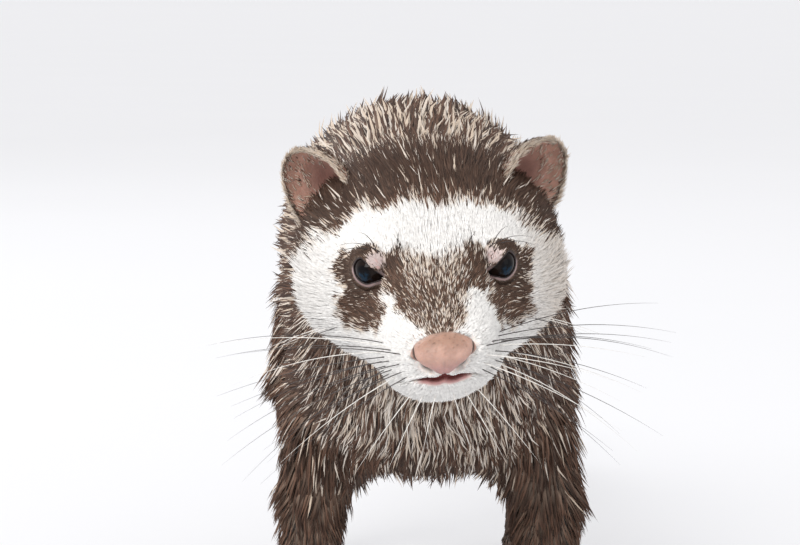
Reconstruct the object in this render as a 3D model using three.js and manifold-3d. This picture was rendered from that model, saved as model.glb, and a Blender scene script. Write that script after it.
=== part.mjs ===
// A life-size ferret: an adult male in winter coat, standing still on all fours and looking ahead.
// Millimetres, +Z up, facing -Y. Every size is taken over the coat, out to the tips of the hair.
// The body is parted into the pieces that a person would name, with a thin gap between neighbours.
import * as THREE from "three";
import { LoftGeometry } from "three/addons/geometries/LoftGeometry.js";
import { mergeVertices } from "three/addons/utils/BufferGeometryUtils.js";
import Module from "manifold-3d";

const wasm = await Module();
wasm.setup();

// Driving dimensions.
const GAP = 0.3; // between neighbouring pieces
const FAR = 300; // length of a cutting block, larger than any piece
const SIDES = { left: 1, right: -1 }; // the animal's left is +X

// The head's own frame starts midway between the eyes: +Y to the back of the skull, +Z to the crown.
const HEAD = {
  place: new THREE.Vector3(0, -205, 104), // of that frame, over the floor
  pitch: 15, // degrees, snout down
  yaw: 2.5, // degrees, towards its left
  roll: -2.5, // degrees, left eye up
  sides: 24,
  steps: 14,
  crowding: 1.25, // over 1 its sections lie closer towards the snout
};

// Sections of the head at a distance behind the eyes: half width, the height where it is widest,
// the heights of its top and bottom, and how square it is, from 2 for an ellipse.
const HEAD_SECTIONS = [
  { name: "snout", at: -26.0, side: 3.6, level: -9.0, top: -5.6, bottom: -13.2, square: 2.1 },
  { name: "lips", at: -24.0, side: 7.0, level: -10.2, top: -3.9, bottom: -16.6, square: 2.2 },
  { name: "pads", at: -20.0, side: 9.7, level: -11.0, top: -2.4, bottom: -18.9, square: 2.3 },
  { name: "bridge", at: -14.0, side: 11.5, level: -11.6, top: 0.0, bottom: -20.3, square: 2.3 },
  { name: "mouth", at: -7.0, side: 13.6, level: -11.6, top: 3.2, bottom: -21.4, square: 2.2 },
  { name: "eyes", at: 0.0, side: 17.6, level: -11.0, top: 6.5, bottom: -22.8, square: 2.15 },
  { name: "brow", at: 8.0, side: 22.8, level: -9.6, top: 9.6, bottom: -24.8, square: 2.1 },
  { name: "cheeks", at: 17.0, side: 26.2, level: -8.4, top: 12.0, bottom: -27.0, square: 2.1 },
  { name: "ears", at: 28.0, side: 26.6, level: -8.0, top: 13.4, bottom: -28.8, square: 2.1 },
  { name: "occiput", at: 40.0, side: 25.4, level: -8.0, top: 13.4, bottom: -30.0, square: 2.1 },
];

// Soft swellings of the head, on both sides, and hollows where the height is under zero.
const HEAD_SWELLINGS = [
  { name: "whisker_pad", x: 8.0, y: -19.5, z: -10.5, radius: 5.0, height: 1.1 },
  { name: "brow", x: 10.5, y: 5.0, z: 6.0, radius: 4.5, height: 1.0 },
  { name: "tear_hollow", x: 9.5, y: -6.0, z: -1.5, radius: 4.5, height: -1.1 },
  { name: "cheek", x: 22.0, y: 13.0, z: -12.0, radius: 8.0, height: 1.2 },
  { name: "chin", x: 0, y: -19.0, z: -19.0, radius: 4.0, height: 0.7 },
];

// The eyeball, and the shallow orbit that bares its front.
const EYE = {
  radius: 3.8,
  x: 10.9,
  y: 1.4,
  z: -0.9,
  gaze: { aside: 35, up: 2 }, // degrees from straight ahead
  bared: 1.1, // how far the ball stands out of the orbit's floor
  orbit: { radius: 6.2, depth: 4.6 },
};

const NOSE = { x: 5.8, y: 4.3, z: 3.6, at: new THREE.Vector3(0, -23.9, -7.6), pinch: 0.3 };

// The mouth seen from the side: its line runs from the lips to the corner, and the jaw ends behind it.
const MOUTH = { lips: [-40, -12.1], middle: [-20, -12.5], corner: [-6, -15.2], angle: [8, -45] };

const EAR = {
  at: new THREE.Vector3(20.2, 30, 6.2),
  width: 8.2, // half of it
  height: 9.8, // over its root
  depth: 4.4,
  hollow: { width: 6.5, height: 8.3, depth: 4.4, forward: 2.3 },
  turn: 34, // degrees outwards from straight ahead
  splay: 27, // degrees that its tip leans aside
  lean: 8, // degrees that its tip leans back
};

// The spine behind the head, to the tip of the tail: its place, the half width, and how far the
// coat reaches over and under it.
const SPINE = [
  { name: "throat", x: 1, y: -133, z: 92, side: 26.5, over: 22, under: 25.5, square: 2.1 },
  { name: "shoulders", x: 0, y: -97, z: 81, side: 31.5, over: 30, under: 35, square: 2.15 },
  { name: "ribs", x: -2, y: -46, z: 83, side: 34.5, over: 36, under: 37, square: 2.2 },
  { name: "loin", x: -3, y: 10, z: 91, side: 34.5, over: 37, under: 37, square: 2.2 },
  { name: "hips", x: -2, y: 64, z: 88, side: 36.5, over: 37, under: 36, square: 2.15 },
  { name: "rump", x: 0, y: 101, z: 78, side: 30, over: 32, under: 29, square: 2.1 },
  { name: "tail_root", x: 2, y: 130, z: 68, side: 17, over: 17.5, under: 16, square: 2.0 },
  { name: "tail_fore", x: 5, y: 165, z: 55, side: 13.5, over: 13.5, under: 13, square: 2.0 },
  { name: "tail_middle", x: 10, y: 204, z: 44, side: 13, over: 13, under: 13, square: 2.0 },
  { name: "tail_hind", x: 17, y: 238, z: 38, side: 12, over: 12, under: 12, square: 2.0 },
  { name: "tail_brush", x: 22, y: 260, z: 37, side: 8.4, over: 8.4, under: 8.4, square: 2.0 },
  { name: "tail_tip", x: 26, y: 273, z: 37.5, side: 1.2, over: 1.2, under: 1.2, square: 2.0 },
];

// The pieces of trunk and tail, each between two landmarks of the spine.
const TRUNK = [
  { name: "neck", from: "skull", to: "shoulders", steps: 7, sides: 24 },
  { name: "chest", from: "shoulders", to: "ribs", steps: 4, sides: 26 },
  { name: "loin", from: "ribs", to: "hips", steps: 6, sides: 26 },
  { name: "rump", from: "hips", to: "tail_root", steps: 6, sides: 26 },
  { name: "tail_base", from: "tail_root", to: "tail_fore", steps: 3, sides: 14 },
  { name: "tail_middle", from: "tail_fore", to: "tail_hind", steps: 4, sides: 14 },
  { name: "tail_end", from: "tail_hind", to: "tail_tip", steps: 5, sides: 14 },
];

// The legs of the left side, from the joint in the body to the sole. Their sections reach "over"
// towards the tail and "under" towards the head. A stride moves the foot along Y.
const LEGS = [
  {
    names: { upper: "upper_arm", lower: "forearm", paw: "forepaw" },
    stride: { left: -7, right: 7 },
    knee: 2, // the landmark that parts the upper piece from the lower one
    ankle: 14, // height of the cut over the paw
    sections: [
      { x: 17, y: -92, z: 84, side: 10, over: 17, under: 18, square: 2.0 },
      { x: 22, y: -89, z: 64, side: 12, over: 16, under: 16, square: 2.0 },
      { x: 25.5, y: -85, z: 46, side: 10, over: 12, under: 12, square: 2.0 },
      { x: 25.5, y: -88, z: 29, side: 8.2, over: 8.8, under: 8.8, square: 2.0 },
      { x: 24.8, y: -93, z: 14, side: 7.2, over: 7.0, under: 7.0, square: 2.0 },
      { x: 24.5, y: -96, z: 6, side: 7.0, over: 6.0, under: 6.5, square: 2.0 },
    ],
    palm: { x: 24.5, y: -100.5, z: 5.4, radii: [8.2, 9.6, 6.3] },
    toe: 11.2,
    claw: 4.6,
  },
  {
    names: { upper: "thigh", lower: "shank", paw: "hindpaw" },
    stride: { left: 8, right: -8 },
    knee: 2,
    ankle: 23,
    sections: [
      { x: 17, y: 84, z: 92, side: 14, over: 22, under: 22, square: 2.0 },
      { x: 23.5, y: 78, z: 72, side: 17.5, over: 25, under: 26, square: 2.0 },
      { x: 29.5, y: 69, z: 50, side: 13, over: 17, under: 16, square: 2.0 },
      { x: 30.5, y: 81, z: 35, side: 8.8, over: 10.5, under: 9.8, square: 2.0 },
      { x: 29.5, y: 92, z: 20, side: 7.2, over: 7.6, under: 7.6, square: 2.0 },
      { x: 29, y: 84, z: 11, side: 7.0, over: 6.4, under: 6.4, square: 2.0 },
      { x: 28.5, y: 70, z: 6.5, side: 7.2, over: 6.0, under: 6.0, square: 2.0 },
    ],
    palm: { x: 28.5, y: 63, z: 5.4, radii: [8.4, 10.5, 6.3] },
    toe: 12.0,
    claw: 3.6,
  },
];

// Toes spread from the middle of the palm, the middle ones reaching furthest. A toe is given at its
// root, knuckle, pad and tip, and a claw at its root, bend and tip.
const TOE = {
  turns: [-34, -15, 1, 17, 36], // degrees outwards
  reach: [0.76, 0.96, 1.0, 0.94, 0.74], // share of the leg's own length of toe
  start: 0.5, // from the middle of the palm
  covered: 4.5, // how much of it lies in the palm
  places: [0, 0.55, 0.9, 1], // shares of its length
  heights: [4.4, 5.2, 3.25, 2.65],
  radii: [2.8, 2.94, 2.66, 1.26],
};
const CLAW = { rooted: 2, bend: 0.55, heights: [3.5, 2.825, 0.8], radii: [1.15, 0.92, 0.35] };
const PAW_TURN = 5; // degrees outwards
const PAST_KNEE = 0.6; // how far each length of a leg runs on, in landmarks, before it is cut

const FINISHES = {
  sable: { color: 0x4a3a30, roughness: 0.9 },
  dark: { color: 0x2c2320, roughness: 0.9 },
  white: { color: 0xebe6df, roughness: 0.9 },
  nose: { color: 0xd8a493, roughness: 0.45 },
  ear: { color: 0xb08c7d, roughness: 0.7 },
  eye: { color: 0x120d0c, roughness: 0.08 },
};

const radians = (degrees) => THREE.MathUtils.degToRad(degrees);

// Solids are joined and cut as closed meshes whose vertices are merged.
function solidOf(geometry) {
  const bare = new THREE.BufferGeometry();
  bare.setAttribute("position", geometry.attributes.position);
  bare.setIndex(geometry.index ?? [...Array(geometry.attributes.position.count).keys()]);
  const merged = mergeVertices(bare, 1e-4);
  return new wasm.Manifold(new wasm.Mesh({
    numProp: 3,
    vertProperties: new Float32Array(merged.attributes.position.array),
    triVerts: new Uint32Array(merged.index.array),
  }));
}

function meshOf(name, solid, finish) {
  const { vertProperties, triVerts } = solid.getMesh();
  const geometry = new THREE.BufferGeometry();
  geometry.setAttribute("position", new THREE.BufferAttribute(vertProperties, 3));
  geometry.setIndex(new THREE.BufferAttribute(triVerts, 1));
  geometry.computeVertexNormals();
  const mesh = new THREE.Mesh(geometry, new THREE.MeshStandardMaterial(FINISHES[finish]));
  mesh.name = name;
  return mesh;
}

// A block that fills the space beyond a plane, on the side that its normal points to.
function beyond(point, normal) {
  const turn = new THREE.Quaternion().setFromUnitVectors(new THREE.Vector3(0, 0, 1), normal);
  const block = new THREE.BoxGeometry(FAR, FAR, FAR).translate(0, 0, FAR / 2).applyQuaternion(turn);
  return solidOf(block.translate(point.x, point.y, point.z));
}

const UP = new THREE.Vector3(0, 0, 1);
const DOWN = new THREE.Vector3(0, 0, -1);
const BACK = new THREE.Vector3(0, 1, 0);

// A smooth track through landmarks: their numbers at any place between the first and the last.
function track(landmarks, keys, places) {
  const values = landmarks.flatMap((landmark) => keys.map((key) => landmark[key]));
  const curve = new THREE.CubicInterpolant(places, values, keys.length);
  return (place) => {
    const sample = Array.from(curve.evaluate(place));
    return Object.fromEntries(keys.map((key, index) => [key, sample[index]]));
  };
}

// The point at an angle on a squared ellipse whose upper and lower halves differ in height.
function onSection(section, angle) {
  const power = 2 / section.square;
  const bend = (value) => Math.sign(value) * Math.abs(value) ** power;
  const height = Math.sin(angle) > 0 ? section.over : section.under;
  return { across: section.side * bend(Math.cos(angle)), up: height * bend(Math.sin(angle)) };
}

// A body swept along a track, with sections square to it. Reference points to its "over" side.
function sweep({ sections, reference, from, to, steps, sides, swell = 0 }) {
  const keys = ["x", "y", "z", "side", "over", "under", "square"];
  const at = track(sections, keys, sections.map((section, index) => index));
  const placeOf = (sample) => new THREE.Vector3(sample.x, sample.y, sample.z);
  const rings = [];
  for (let step = 0; step <= steps; step += 1) {
    const place = from + (to - from) * step / steps;
    const sample = at(place);
    const ahead = placeOf(at(Math.min(place + 0.01, sections.length - 1)));
    const behind = placeOf(at(Math.max(place - 0.01, 0)));
    const along = ahead.sub(behind).normalize();
    const aside = new THREE.Vector3().crossVectors(along, reference).normalize();
    const over = new THREE.Vector3().crossVectors(aside, along);
    const size = {
      side: sample.side + swell,
      over: sample.over + swell,
      under: sample.under + swell,
      square: sample.square,
    };
    const ring = [];
    for (let side = 0; side < sides; side += 1) {
      const { across, up } = onSection(size, -2 * Math.PI * side / sides);
      ring.push(placeOf(sample).addScaledVector(aside, across).addScaledVector(over, up));
    }
    rings.push(ring);
  }
  return new LoftGeometry(rings, { capStart: true, capEnd: true });
}

function ellipsoid(radii, columns, rows) {
  return new THREE.SphereGeometry(1, columns, rows).scale(...radii);
}

// The head's frame, which its pieces share.
function headGroup() {
  const group = new THREE.Group();
  group.position.copy(HEAD.place);
  group.rotation.set(radians(HEAD.pitch), radians(HEAD.roll), radians(HEAD.yaw), "ZXY");
  group.updateMatrixWorld(true);
  return group;
}

// The whole head as one body, before it is parted.
function headBody(swell = 0) {
  const keys = ["side", "level", "top", "bottom", "square"];
  const places = HEAD_SECTIONS.map((section) => section.at);
  const at = track(HEAD_SECTIONS, keys, places);
  const front = places[0];
  const back = places[places.length - 1];
  const rings = [];
  for (let step = 0; step <= HEAD.steps; step += 1) {
    const y = front + (back - front) * (step / HEAD.steps) ** HEAD.crowding;
    const { side, level, top, bottom, square } = at(y);
    const size = { side: side + swell, over: top - level + swell, under: level - bottom + swell, square };
    const ring = [];
    for (let column = 0; column < HEAD.sides; column += 1) {
      const { across, up } = onSection(size, -2 * Math.PI * column / HEAD.sides);
      const point = new THREE.Vector3(across, y - (step === 0 ? swell : 0), level + up);
      ring.push(swollen(point, level));
    }
    rings.push(ring);
  }
  return solidOf(new LoftGeometry(rings, { capStart: true, capEnd: true }));
}

// A point of the head moved out, or in, by the swellings near it.
function swollen(point, level) {
  const outwards = new THREE.Vector3(point.x, 0, point.z - level).normalize();
  const moved = point.clone();
  for (const { x, y, z, radius, height } of HEAD_SWELLINGS) {
    const centre = new THREE.Vector3(x, y, z);
    const apart = centre.distanceTo(new THREE.Vector3(Math.abs(point.x), point.y, point.z));
    moved.addScaledVector(outwards, height * Math.exp(-((apart / radius) ** 2)));
  }
  return moved;
}

function gazeOf(sign) {
  const aside = radians(EYE.gaze.aside);
  const up = radians(EYE.gaze.up);
  const level = Math.cos(up);
  return new THREE.Vector3(sign * Math.sin(aside) * level, -Math.cos(aside) * level, Math.sin(up));
}

function eyeball(sign, swell = 0) {
  const radius = EYE.radius + swell;
  return solidOf(new THREE.SphereGeometry(radius, 12, 8).translate(sign * EYE.x, EYE.y, EYE.z));
}

// The dish round the eye, an ellipsoid whose depth runs along the gaze.
function orbit(sign) {
  const gaze = gazeOf(sign);
  const { radius, depth } = EYE.orbit;
  const centre = new THREE.Vector3(sign * EYE.x, EYE.y, EYE.z);
  centre.addScaledVector(gaze, EYE.radius - EYE.bared + depth);
  const turn = new THREE.Quaternion().setFromUnitVectors(new THREE.Vector3(0, 0, 1), gaze);
  const dish = ellipsoid([radius, radius, depth], 10, 7).applyQuaternion(turn);
  return solidOf(dish.translate(centre.x, centre.y, centre.z));
}

// The nose pad, narrower towards its foot.
function nosePad(swell = 0) {
  const pad = ellipsoid([NOSE.x + swell, NOSE.y + swell, NOSE.z + swell], 12, 8);
  const points = pad.attributes.position;
  for (let index = 0; index < points.count; index += 1) {
    const depth = Math.max(0, -points.getZ(index) / NOSE.z);
    points.setX(index, points.getX(index) * (1 - NOSE.pinch * depth));
  }
  return solidOf(pad.translate(NOSE.at.x, NOSE.at.y, NOSE.at.z));
}

// The block that holds the jaw, below and before the line of the mouth.
function jawBlock() {
  const outline = new THREE.Shape();
  outline.moveTo(...MOUTH.lips);
  outline.lineTo(...MOUTH.middle);
  outline.lineTo(...MOUTH.corner);
  outline.lineTo(...MOUTH.angle);
  outline.lineTo(MOUTH.lips[0], MOUTH.angle[1]);
  outline.closePath();
  const block = new THREE.ExtrudeGeometry(outline, { depth: FAR, bevelEnabled: false });
  block.translate(0, 0, -FAR / 2);
  const axes = [new THREE.Vector3(0, 1, 0), new THREE.Vector3(0, 0, 1), new THREE.Vector3(1, 0, 0)];
  return solidOf(block.applyMatrix4(new THREE.Matrix4().makeBasis(...axes)));
}

// An ear: a cupped shell that opens forwards and aside, rooted in the head.
function ear(sign) {
  const shell = ellipsoid([EAR.width, EAR.depth, EAR.height], 11, 9);
  const { width, height, depth, forward } = EAR.hollow;
  const hollow = ellipsoid([width, depth, height], 11, 9).translate(0, -forward, 0);
  const cup = solidOf(shell).subtract(solidOf(hollow));
  const [lean, splay, turned] = [-EAR.lean, sign * EAR.splay, sign * EAR.turn].map(radians);
  const turn = new THREE.Euler(lean, splay, turned, "YXZ");
  const place = new THREE.Matrix4().makeRotationFromEuler(turn);
  place.setPosition(sign * EAR.at.x, EAR.at.y, EAR.at.z);
  return cup.transform(place.elements);
}

function addHead(group) {
  const whole = headBody();
  const jaw = jawBlock();
  const sockets = Object.values(SIDES).map((sign) => orbit(sign).add(eyeball(sign, GAP)));
  const hollowed = sockets.reduce((solid, socket) => solid.subtract(socket), whole);
  const noseless = hollowed.subtract(nosePad(GAP));
  group.add(meshOf("head", noseless.subtract(jaw), "white"));
  group.add(meshOf("jaw", noseless.intersect(jaw.translate(0, -GAP, -GAP)), "white"));
  group.add(meshOf("nose", nosePad(), "nose"));
  for (const [side, sign] of Object.entries(SIDES)) {
    group.add(meshOf(`eye_${side}`, eyeball(sign), "eye"));
    group.add(meshOf(`ear_${side}`, ear(sign).subtract(headBody(GAP)), "ear"));
  }
}

// The spine with its first landmarks inside the head, so that the neck leaves it in line.
function wholeSpine(head) {
  const inHead = (name) => HEAD_SECTIONS.find((section) => section.name === name);
  const landmarks = { skull: inHead("cheeks"), nape: inHead("occiput") };
  const first = Object.entries(landmarks).map(([name, { at, side, top, bottom, square }]) => {
    const place = new THREE.Vector3(0, at, (top + bottom) / 2).applyMatrix4(head.matrixWorld);
    const half = (top - bottom) / 2;
    return { name, x: place.x, y: place.y, z: place.z, side, over: half, under: half, square };
  });
  return [...first, ...SPINE];
}

// Half the gap between two pieces of the spine, as a share of the way to the next landmark.
function halfGap(spine, index) {
  const next = spine[Math.min(index + 1, spine.length - 1)];
  const last = spine[Math.max(index - 1, 0)];
  return GAP / Math.hypot(next.x - last.x, next.y - last.y, next.z - last.z);
}

// One piece of the spine. The swollen copies that legs are cut by run into their neighbours.
function spinePiece(spine, piece, swell = 0) {
  const indexOf = (name) => spine.findIndex((section) => section.name === name);
  const start = indexOf(piece.from);
  const end = indexOf(piece.to);
  const inset = (index) => {
    const atEnd = index === 0 || index === spine.length - 1;
    return atEnd ? 0 : halfGap(spine, index) * (swell > 0 ? -2 : 1);
  };
  const from = start + inset(start);
  const to = end - inset(end);
  const { steps, sides } = piece;
  return solidOf(sweep({ sections: spine, reference: UP, from, to, steps, sides, swell }));
}

function addTrunk(group, head, spine) {
  const backOfHead = new THREE.Vector3(0, HEAD_SECTIONS.at(-1).at + GAP, 0);
  const behindHead = beyond(backOfHead, BACK).transform(head.matrixWorld.elements);
  for (const piece of TRUNK) {
    const body = spinePiece(spine, piece);
    const cut = piece.from === "skull" ? body.intersect(behindHead) : body;
    group.add(meshOf(piece.name, cut, piece.name.startsWith("tail") ? "dark" : "sable"));
  }
}

// The landmarks of one leg, mirrored for its side, with the foot moved on by its stride.
function legSections(leg, side) {
  const top = leg.sections[0].z;
  return leg.sections.map((section) => ({
    ...section,
    x: SIDES[side] * section.x,
    y: section.y + leg.stride[side] * (1 - section.z / top),
  }));
}

// A thin tapering rod along a short track, for toes and claws.
function rod(points, radii, steps, sides) {
  const sections = points.map((point, index) => {
    const radius = radii[index];
    return { x: point.x, y: point.y, z: point.z, side: radius, over: radius, under: radius, square: 2 };
  });
  return solidOf(sweep({ sections, reference: UP, from: 0, to: points.length - 1, steps, sides }));
}

function toeAndClaw(turn, length, claw) {
  const ahead = new THREE.Vector3(Math.sin(radians(turn)), -Math.cos(radians(turn)), 0);
  const at = (distance, height) => ahead.clone().multiplyScalar(TOE.start + distance).setZ(height);
  const toe = TOE.places.map((share, index) => at(length * share, TOE.heights[index]));
  const reaches = [length - CLAW.rooted, length + claw * CLAW.bend, length + claw];
  const nail = reaches.map((reach, index) => at(reach, CLAW.heights[index]));
  return rod(toe, TOE.radii, 4, 6).add(rod(nail, CLAW.radii, 2, 4));
}

// A paw: the end of the leg, its palm and the toes, cut flat where they meet the floor.
function paw(leg, side, limb) {
  const { x, y, z, radii } = leg.palm;
  const sign = SIDES[side];
  const palm = solidOf(ellipsoid(radii, 10, 7).translate(0, 0, z));
  const toes = TOE.turns.map((turn, index) => {
    return toeAndClaw(sign * turn, TOE.covered + leg.toe * TOE.reach[index], leg.claw);
  });
  const foot = toes.reduce((solid, toe) => solid.add(toe), palm);
  const place = new THREE.Matrix4().makeRotationZ(radians(sign * PAW_TURN));
  place.setPosition(sign * x, y + leg.stride[side], 0);
  const ankle = new THREE.Vector3(0, 0, leg.ankle - GAP);
  return limb.intersect(beyond(ankle, DOWN))
    .add(foot.transform(place.elements))
    .intersect(beyond(new THREE.Vector3(), UP));
}

// The two lengths of a leg, parted by a plane square to it at the knee or elbow.
function limbs(leg, sections) {
  const { knee } = leg;
  const [above, at, below] = [-1, 0, 1].map((step) => {
    const { x, y, z } = sections[knee + step];
    return new THREE.Vector3(x, y, z);
  });
  const along = below.sub(above).normalize();
  const lowerPlane = beyond(at.clone().addScaledVector(along, GAP / 2), along);
  const upperPlane = beyond(at.clone().addScaledVector(along, -GAP / 2), along.clone().negate());
  const end = sections.length - 1;
  const shape = { sections, reference: BACK };
  const upper = solidOf(sweep({ ...shape, from: 0, to: knee + PAST_KNEE, steps: 6, sides: 12 }));
  const lower = solidOf(sweep({ ...shape, from: knee - PAST_KNEE, to: end, steps: 7, sides: 10 }));
  return { upper: upper.intersect(upperPlane), lower: lower.intersect(lowerPlane) };
}

function addLegs(group, trunk) {
  for (const leg of LEGS) {
    for (const side of Object.keys(SIDES)) {
      const { upper, lower: limb } = limbs(leg, legSections(leg, side));
      const lower = limb.intersect(beyond(new THREE.Vector3(0, 0, leg.ankle), UP));
      group.add(meshOf(`${leg.names.upper}_${side}`, upper.subtract(trunk), "dark"));
      group.add(meshOf(`${leg.names.lower}_${side}`, lower, "dark"));
      group.add(meshOf(`${leg.names.paw}_${side}`, paw(leg, side, limb), "dark"));
    }
  }
}

// The origin is at the middle of the whole box, on the floor.
function centred(body) {
  const group = new THREE.Group();
  const box = new THREE.Box3().setFromObject(body, true);
  const middle = box.getCenter(new THREE.Vector3());
  body.position.set(-middle.x, -middle.y, -box.min.z);
  group.add(body);
  group.updateMatrixWorld(true);
  return group;
}

function ferret() {
  const body = new THREE.Group();
  const head = headGroup();
  body.add(head);
  addHead(head);
  const spine = wholeSpine(head);
  addTrunk(body, head, spine);
  const swollenPieces = TRUNK.map((piece) => spinePiece(spine, piece, GAP));
  addLegs(body, swollenPieces.reduce((trunk, piece) => trunk.add(piece)));
  return centred(body);
}

export default ferret();
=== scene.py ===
import math
import bpy
import numpy as np
from mathutils import Matrix, Vector, bvhtree, kdtree


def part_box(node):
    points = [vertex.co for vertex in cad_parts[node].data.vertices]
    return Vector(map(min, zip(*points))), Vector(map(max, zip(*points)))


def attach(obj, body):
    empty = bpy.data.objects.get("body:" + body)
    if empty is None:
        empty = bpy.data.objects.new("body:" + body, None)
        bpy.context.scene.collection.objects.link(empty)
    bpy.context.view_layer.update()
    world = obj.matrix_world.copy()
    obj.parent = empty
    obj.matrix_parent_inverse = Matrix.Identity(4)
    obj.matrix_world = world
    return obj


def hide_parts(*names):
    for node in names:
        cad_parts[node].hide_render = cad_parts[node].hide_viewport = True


# A still, life-size ferret in winter coat, on all fours. The frame gives its size and place.
# Lengths are millimetres unless a comment says otherwise; points of meshes are metres.
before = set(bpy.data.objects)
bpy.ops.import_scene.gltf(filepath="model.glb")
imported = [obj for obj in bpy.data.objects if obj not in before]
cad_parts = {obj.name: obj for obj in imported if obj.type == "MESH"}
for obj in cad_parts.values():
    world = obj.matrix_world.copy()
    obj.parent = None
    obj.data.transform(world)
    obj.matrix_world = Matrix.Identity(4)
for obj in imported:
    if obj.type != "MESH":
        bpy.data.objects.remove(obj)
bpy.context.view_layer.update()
MM = 0.001
SIDES = {"left": 1, "right": -1}  # the animal's left is +X
random = np.random.default_rng(7)


def middle(node):
    low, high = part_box(node)
    return (np.array(low) + np.array(high)) / 2


def unit(vectors):
    length = np.linalg.norm(vectors, axis=-1, keepdims=True)
    return vectors / np.maximum(length, 1e-12)


def smooth_step(low, high, values):
    share = np.clip((values - low) / (high - low), 0, 1)
    return share * share * (3 - 2 * share)


def bump_at(values, centre, width):
    return np.exp(-(((values - centre) / width) ** 2))


def waves(points, size, seed):
    """A smooth ripple over space, from about -1 to 1, whose bumps are about this size."""
    own = np.random.default_rng(seed)
    total = np.zeros(len(points))
    for _ in range(6):
        direction = unit(own.normal(size=3))
        angle = points @ direction * (2 * math.pi / size) * own.uniform(0.6, 1.4)
        total += np.sin(angle + own.uniform(0, 6.3))
    return total / 2.5


# The head's own frame: its origin midway between the eyes, x to the animal's left, y to the back
# of the skull and z to the crown. It is worked out from the places of the eyes and the nose.
EYE_IN_HEAD = np.array([10.9, 1.4, -0.9])
NOSE_IN_HEAD = np.array([0.0, -23.9, -7.6])


def head_frame():
    left, right = middle("eye_left"), middle("eye_right")
    between = (left + right) / 2
    x_axis = unit(left - right)
    to_nose = middle("nose") - between
    to_nose = unit(to_nose - x_axis * to_nose.dot(x_axis))
    across = np.cross(x_axis, to_nose)
    local = NOSE_IN_HEAD - EYE_IN_HEAD * [0, 1, 1]
    slope = math.atan2(-local[2], -local[1])
    y_axis = -math.cos(slope) * to_nose + math.sin(slope) * across
    axes = np.stack([x_axis, y_axis, np.cross(x_axis, y_axis)])
    origin = between - (EYE_IN_HEAD * [0, 1, 1] * MM) @ axes
    return origin, axes


HEAD_ORIGIN, HEAD_AXES = head_frame()
HEAD_IN_BODY = np.array([0, -205.0, 104.0])  # the head's origin in the frame that the paws are given in


def to_head(points):
    """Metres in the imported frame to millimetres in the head's."""
    return (points - HEAD_ORIGIN) @ HEAD_AXES.T / MM


def from_head(points):
    return HEAD_ORIGIN + np.asarray(points, float) * MM @ HEAD_AXES


def turn_from_head(directions):
    return np.asarray(directions, float) @ HEAD_AXES


def to_body(points):
    return (points - HEAD_ORIGIN) / MM + HEAD_IN_BODY


def from_body(points):
    return HEAD_ORIGIN + (np.asarray(points, float) - HEAD_IN_BODY) * MM


# Mesh helpers.
def new_mesh(name, points, faces):
    """An object from arrays: points in metres, and faces that all have as many corners."""
    mesh = bpy.data.meshes.new(name)
    count, corners = faces.shape
    mesh.vertices.add(len(points))
    mesh.vertices.foreach_set("co", np.asarray(points, np.float32).ravel())
    mesh.loops.add(count * corners)
    mesh.loops.foreach_set("vertex_index", np.asarray(faces, np.int32).ravel())
    mesh.polygons.add(count)
    mesh.polygons.foreach_set("loop_start", np.arange(0, count * corners, corners, dtype=np.int32))
    mesh.update(calc_edges=True)
    mesh.shade_smooth()
    piece = bpy.data.objects.new(name, mesh)
    bpy.context.scene.collection.objects.link(piece)
    return piece


def arrays_of(piece):
    """Points in metres, and triangles."""
    mesh = piece.data
    points = np.empty(len(mesh.vertices) * 3, np.float32)
    mesh.vertices.foreach_get("co", points)
    mesh.calc_loop_triangles()
    triangles = np.empty(len(mesh.loop_triangles) * 3, np.int32)
    mesh.loop_triangles.foreach_get("vertices", triangles)
    return points.reshape(-1, 3).astype(float), triangles.reshape(-1, 3)


def vertex_normals(points, triangles):
    corners = points[triangles]
    face = np.cross(corners[:, 1] - corners[:, 0], corners[:, 2] - corners[:, 0])
    total = np.zeros_like(points)
    for corner in range(3):
        for axis in range(3):
            total[:, axis] += np.bincount(triangles[:, corner], face[:, axis], len(points))
    return unit(total)


def paint(piece, tones):
    """A colour for each vertex, which the materials read by name."""
    layer = piece.data.color_attributes.new("tone", "FLOAT_COLOR", "POINT")
    full = np.ones((len(tones), 4), np.float32)
    full[:, :3] = tones
    layer.data.foreach_set("color", full.ravel())


def moisten(piece, values):
    """How wet each vertex is, from 0 to 1, which the skin's material reads by name."""
    layer = piece.data.attributes.new("wet", "FLOAT", "POINT")
    layer.data.foreach_set("value", np.asarray(values, np.float32))


class Neighbours:
    """The mean over each vertex's neighbours, for smoothing."""

    def __init__(self, count, triangles):
        pairs = np.concatenate([triangles[:, [0, 1]], triangles[:, [1, 2]], triangles[:, [2, 0]]])
        pairs = np.unique(np.sort(pairs, axis=1), axis=0)
        self.tail = np.concatenate([pairs[:, 0], pairs[:, 1]])
        self.head = np.concatenate([pairs[:, 1], pairs[:, 0]])
        self.degree = np.maximum(np.bincount(self.tail, minlength=count), 1)
        self.count = count

    def mean(self, values):
        if values.ndim == 1:
            return np.bincount(self.tail, values[self.head], self.count) / self.degree
        columns = [self.mean(values[:, axis]) for axis in range(values.shape[1])]
        return np.stack(columns, axis=1)

    def soften(self, values, rounds):
        for _ in range(rounds):
            values = self.mean(values)
        return values


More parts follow.
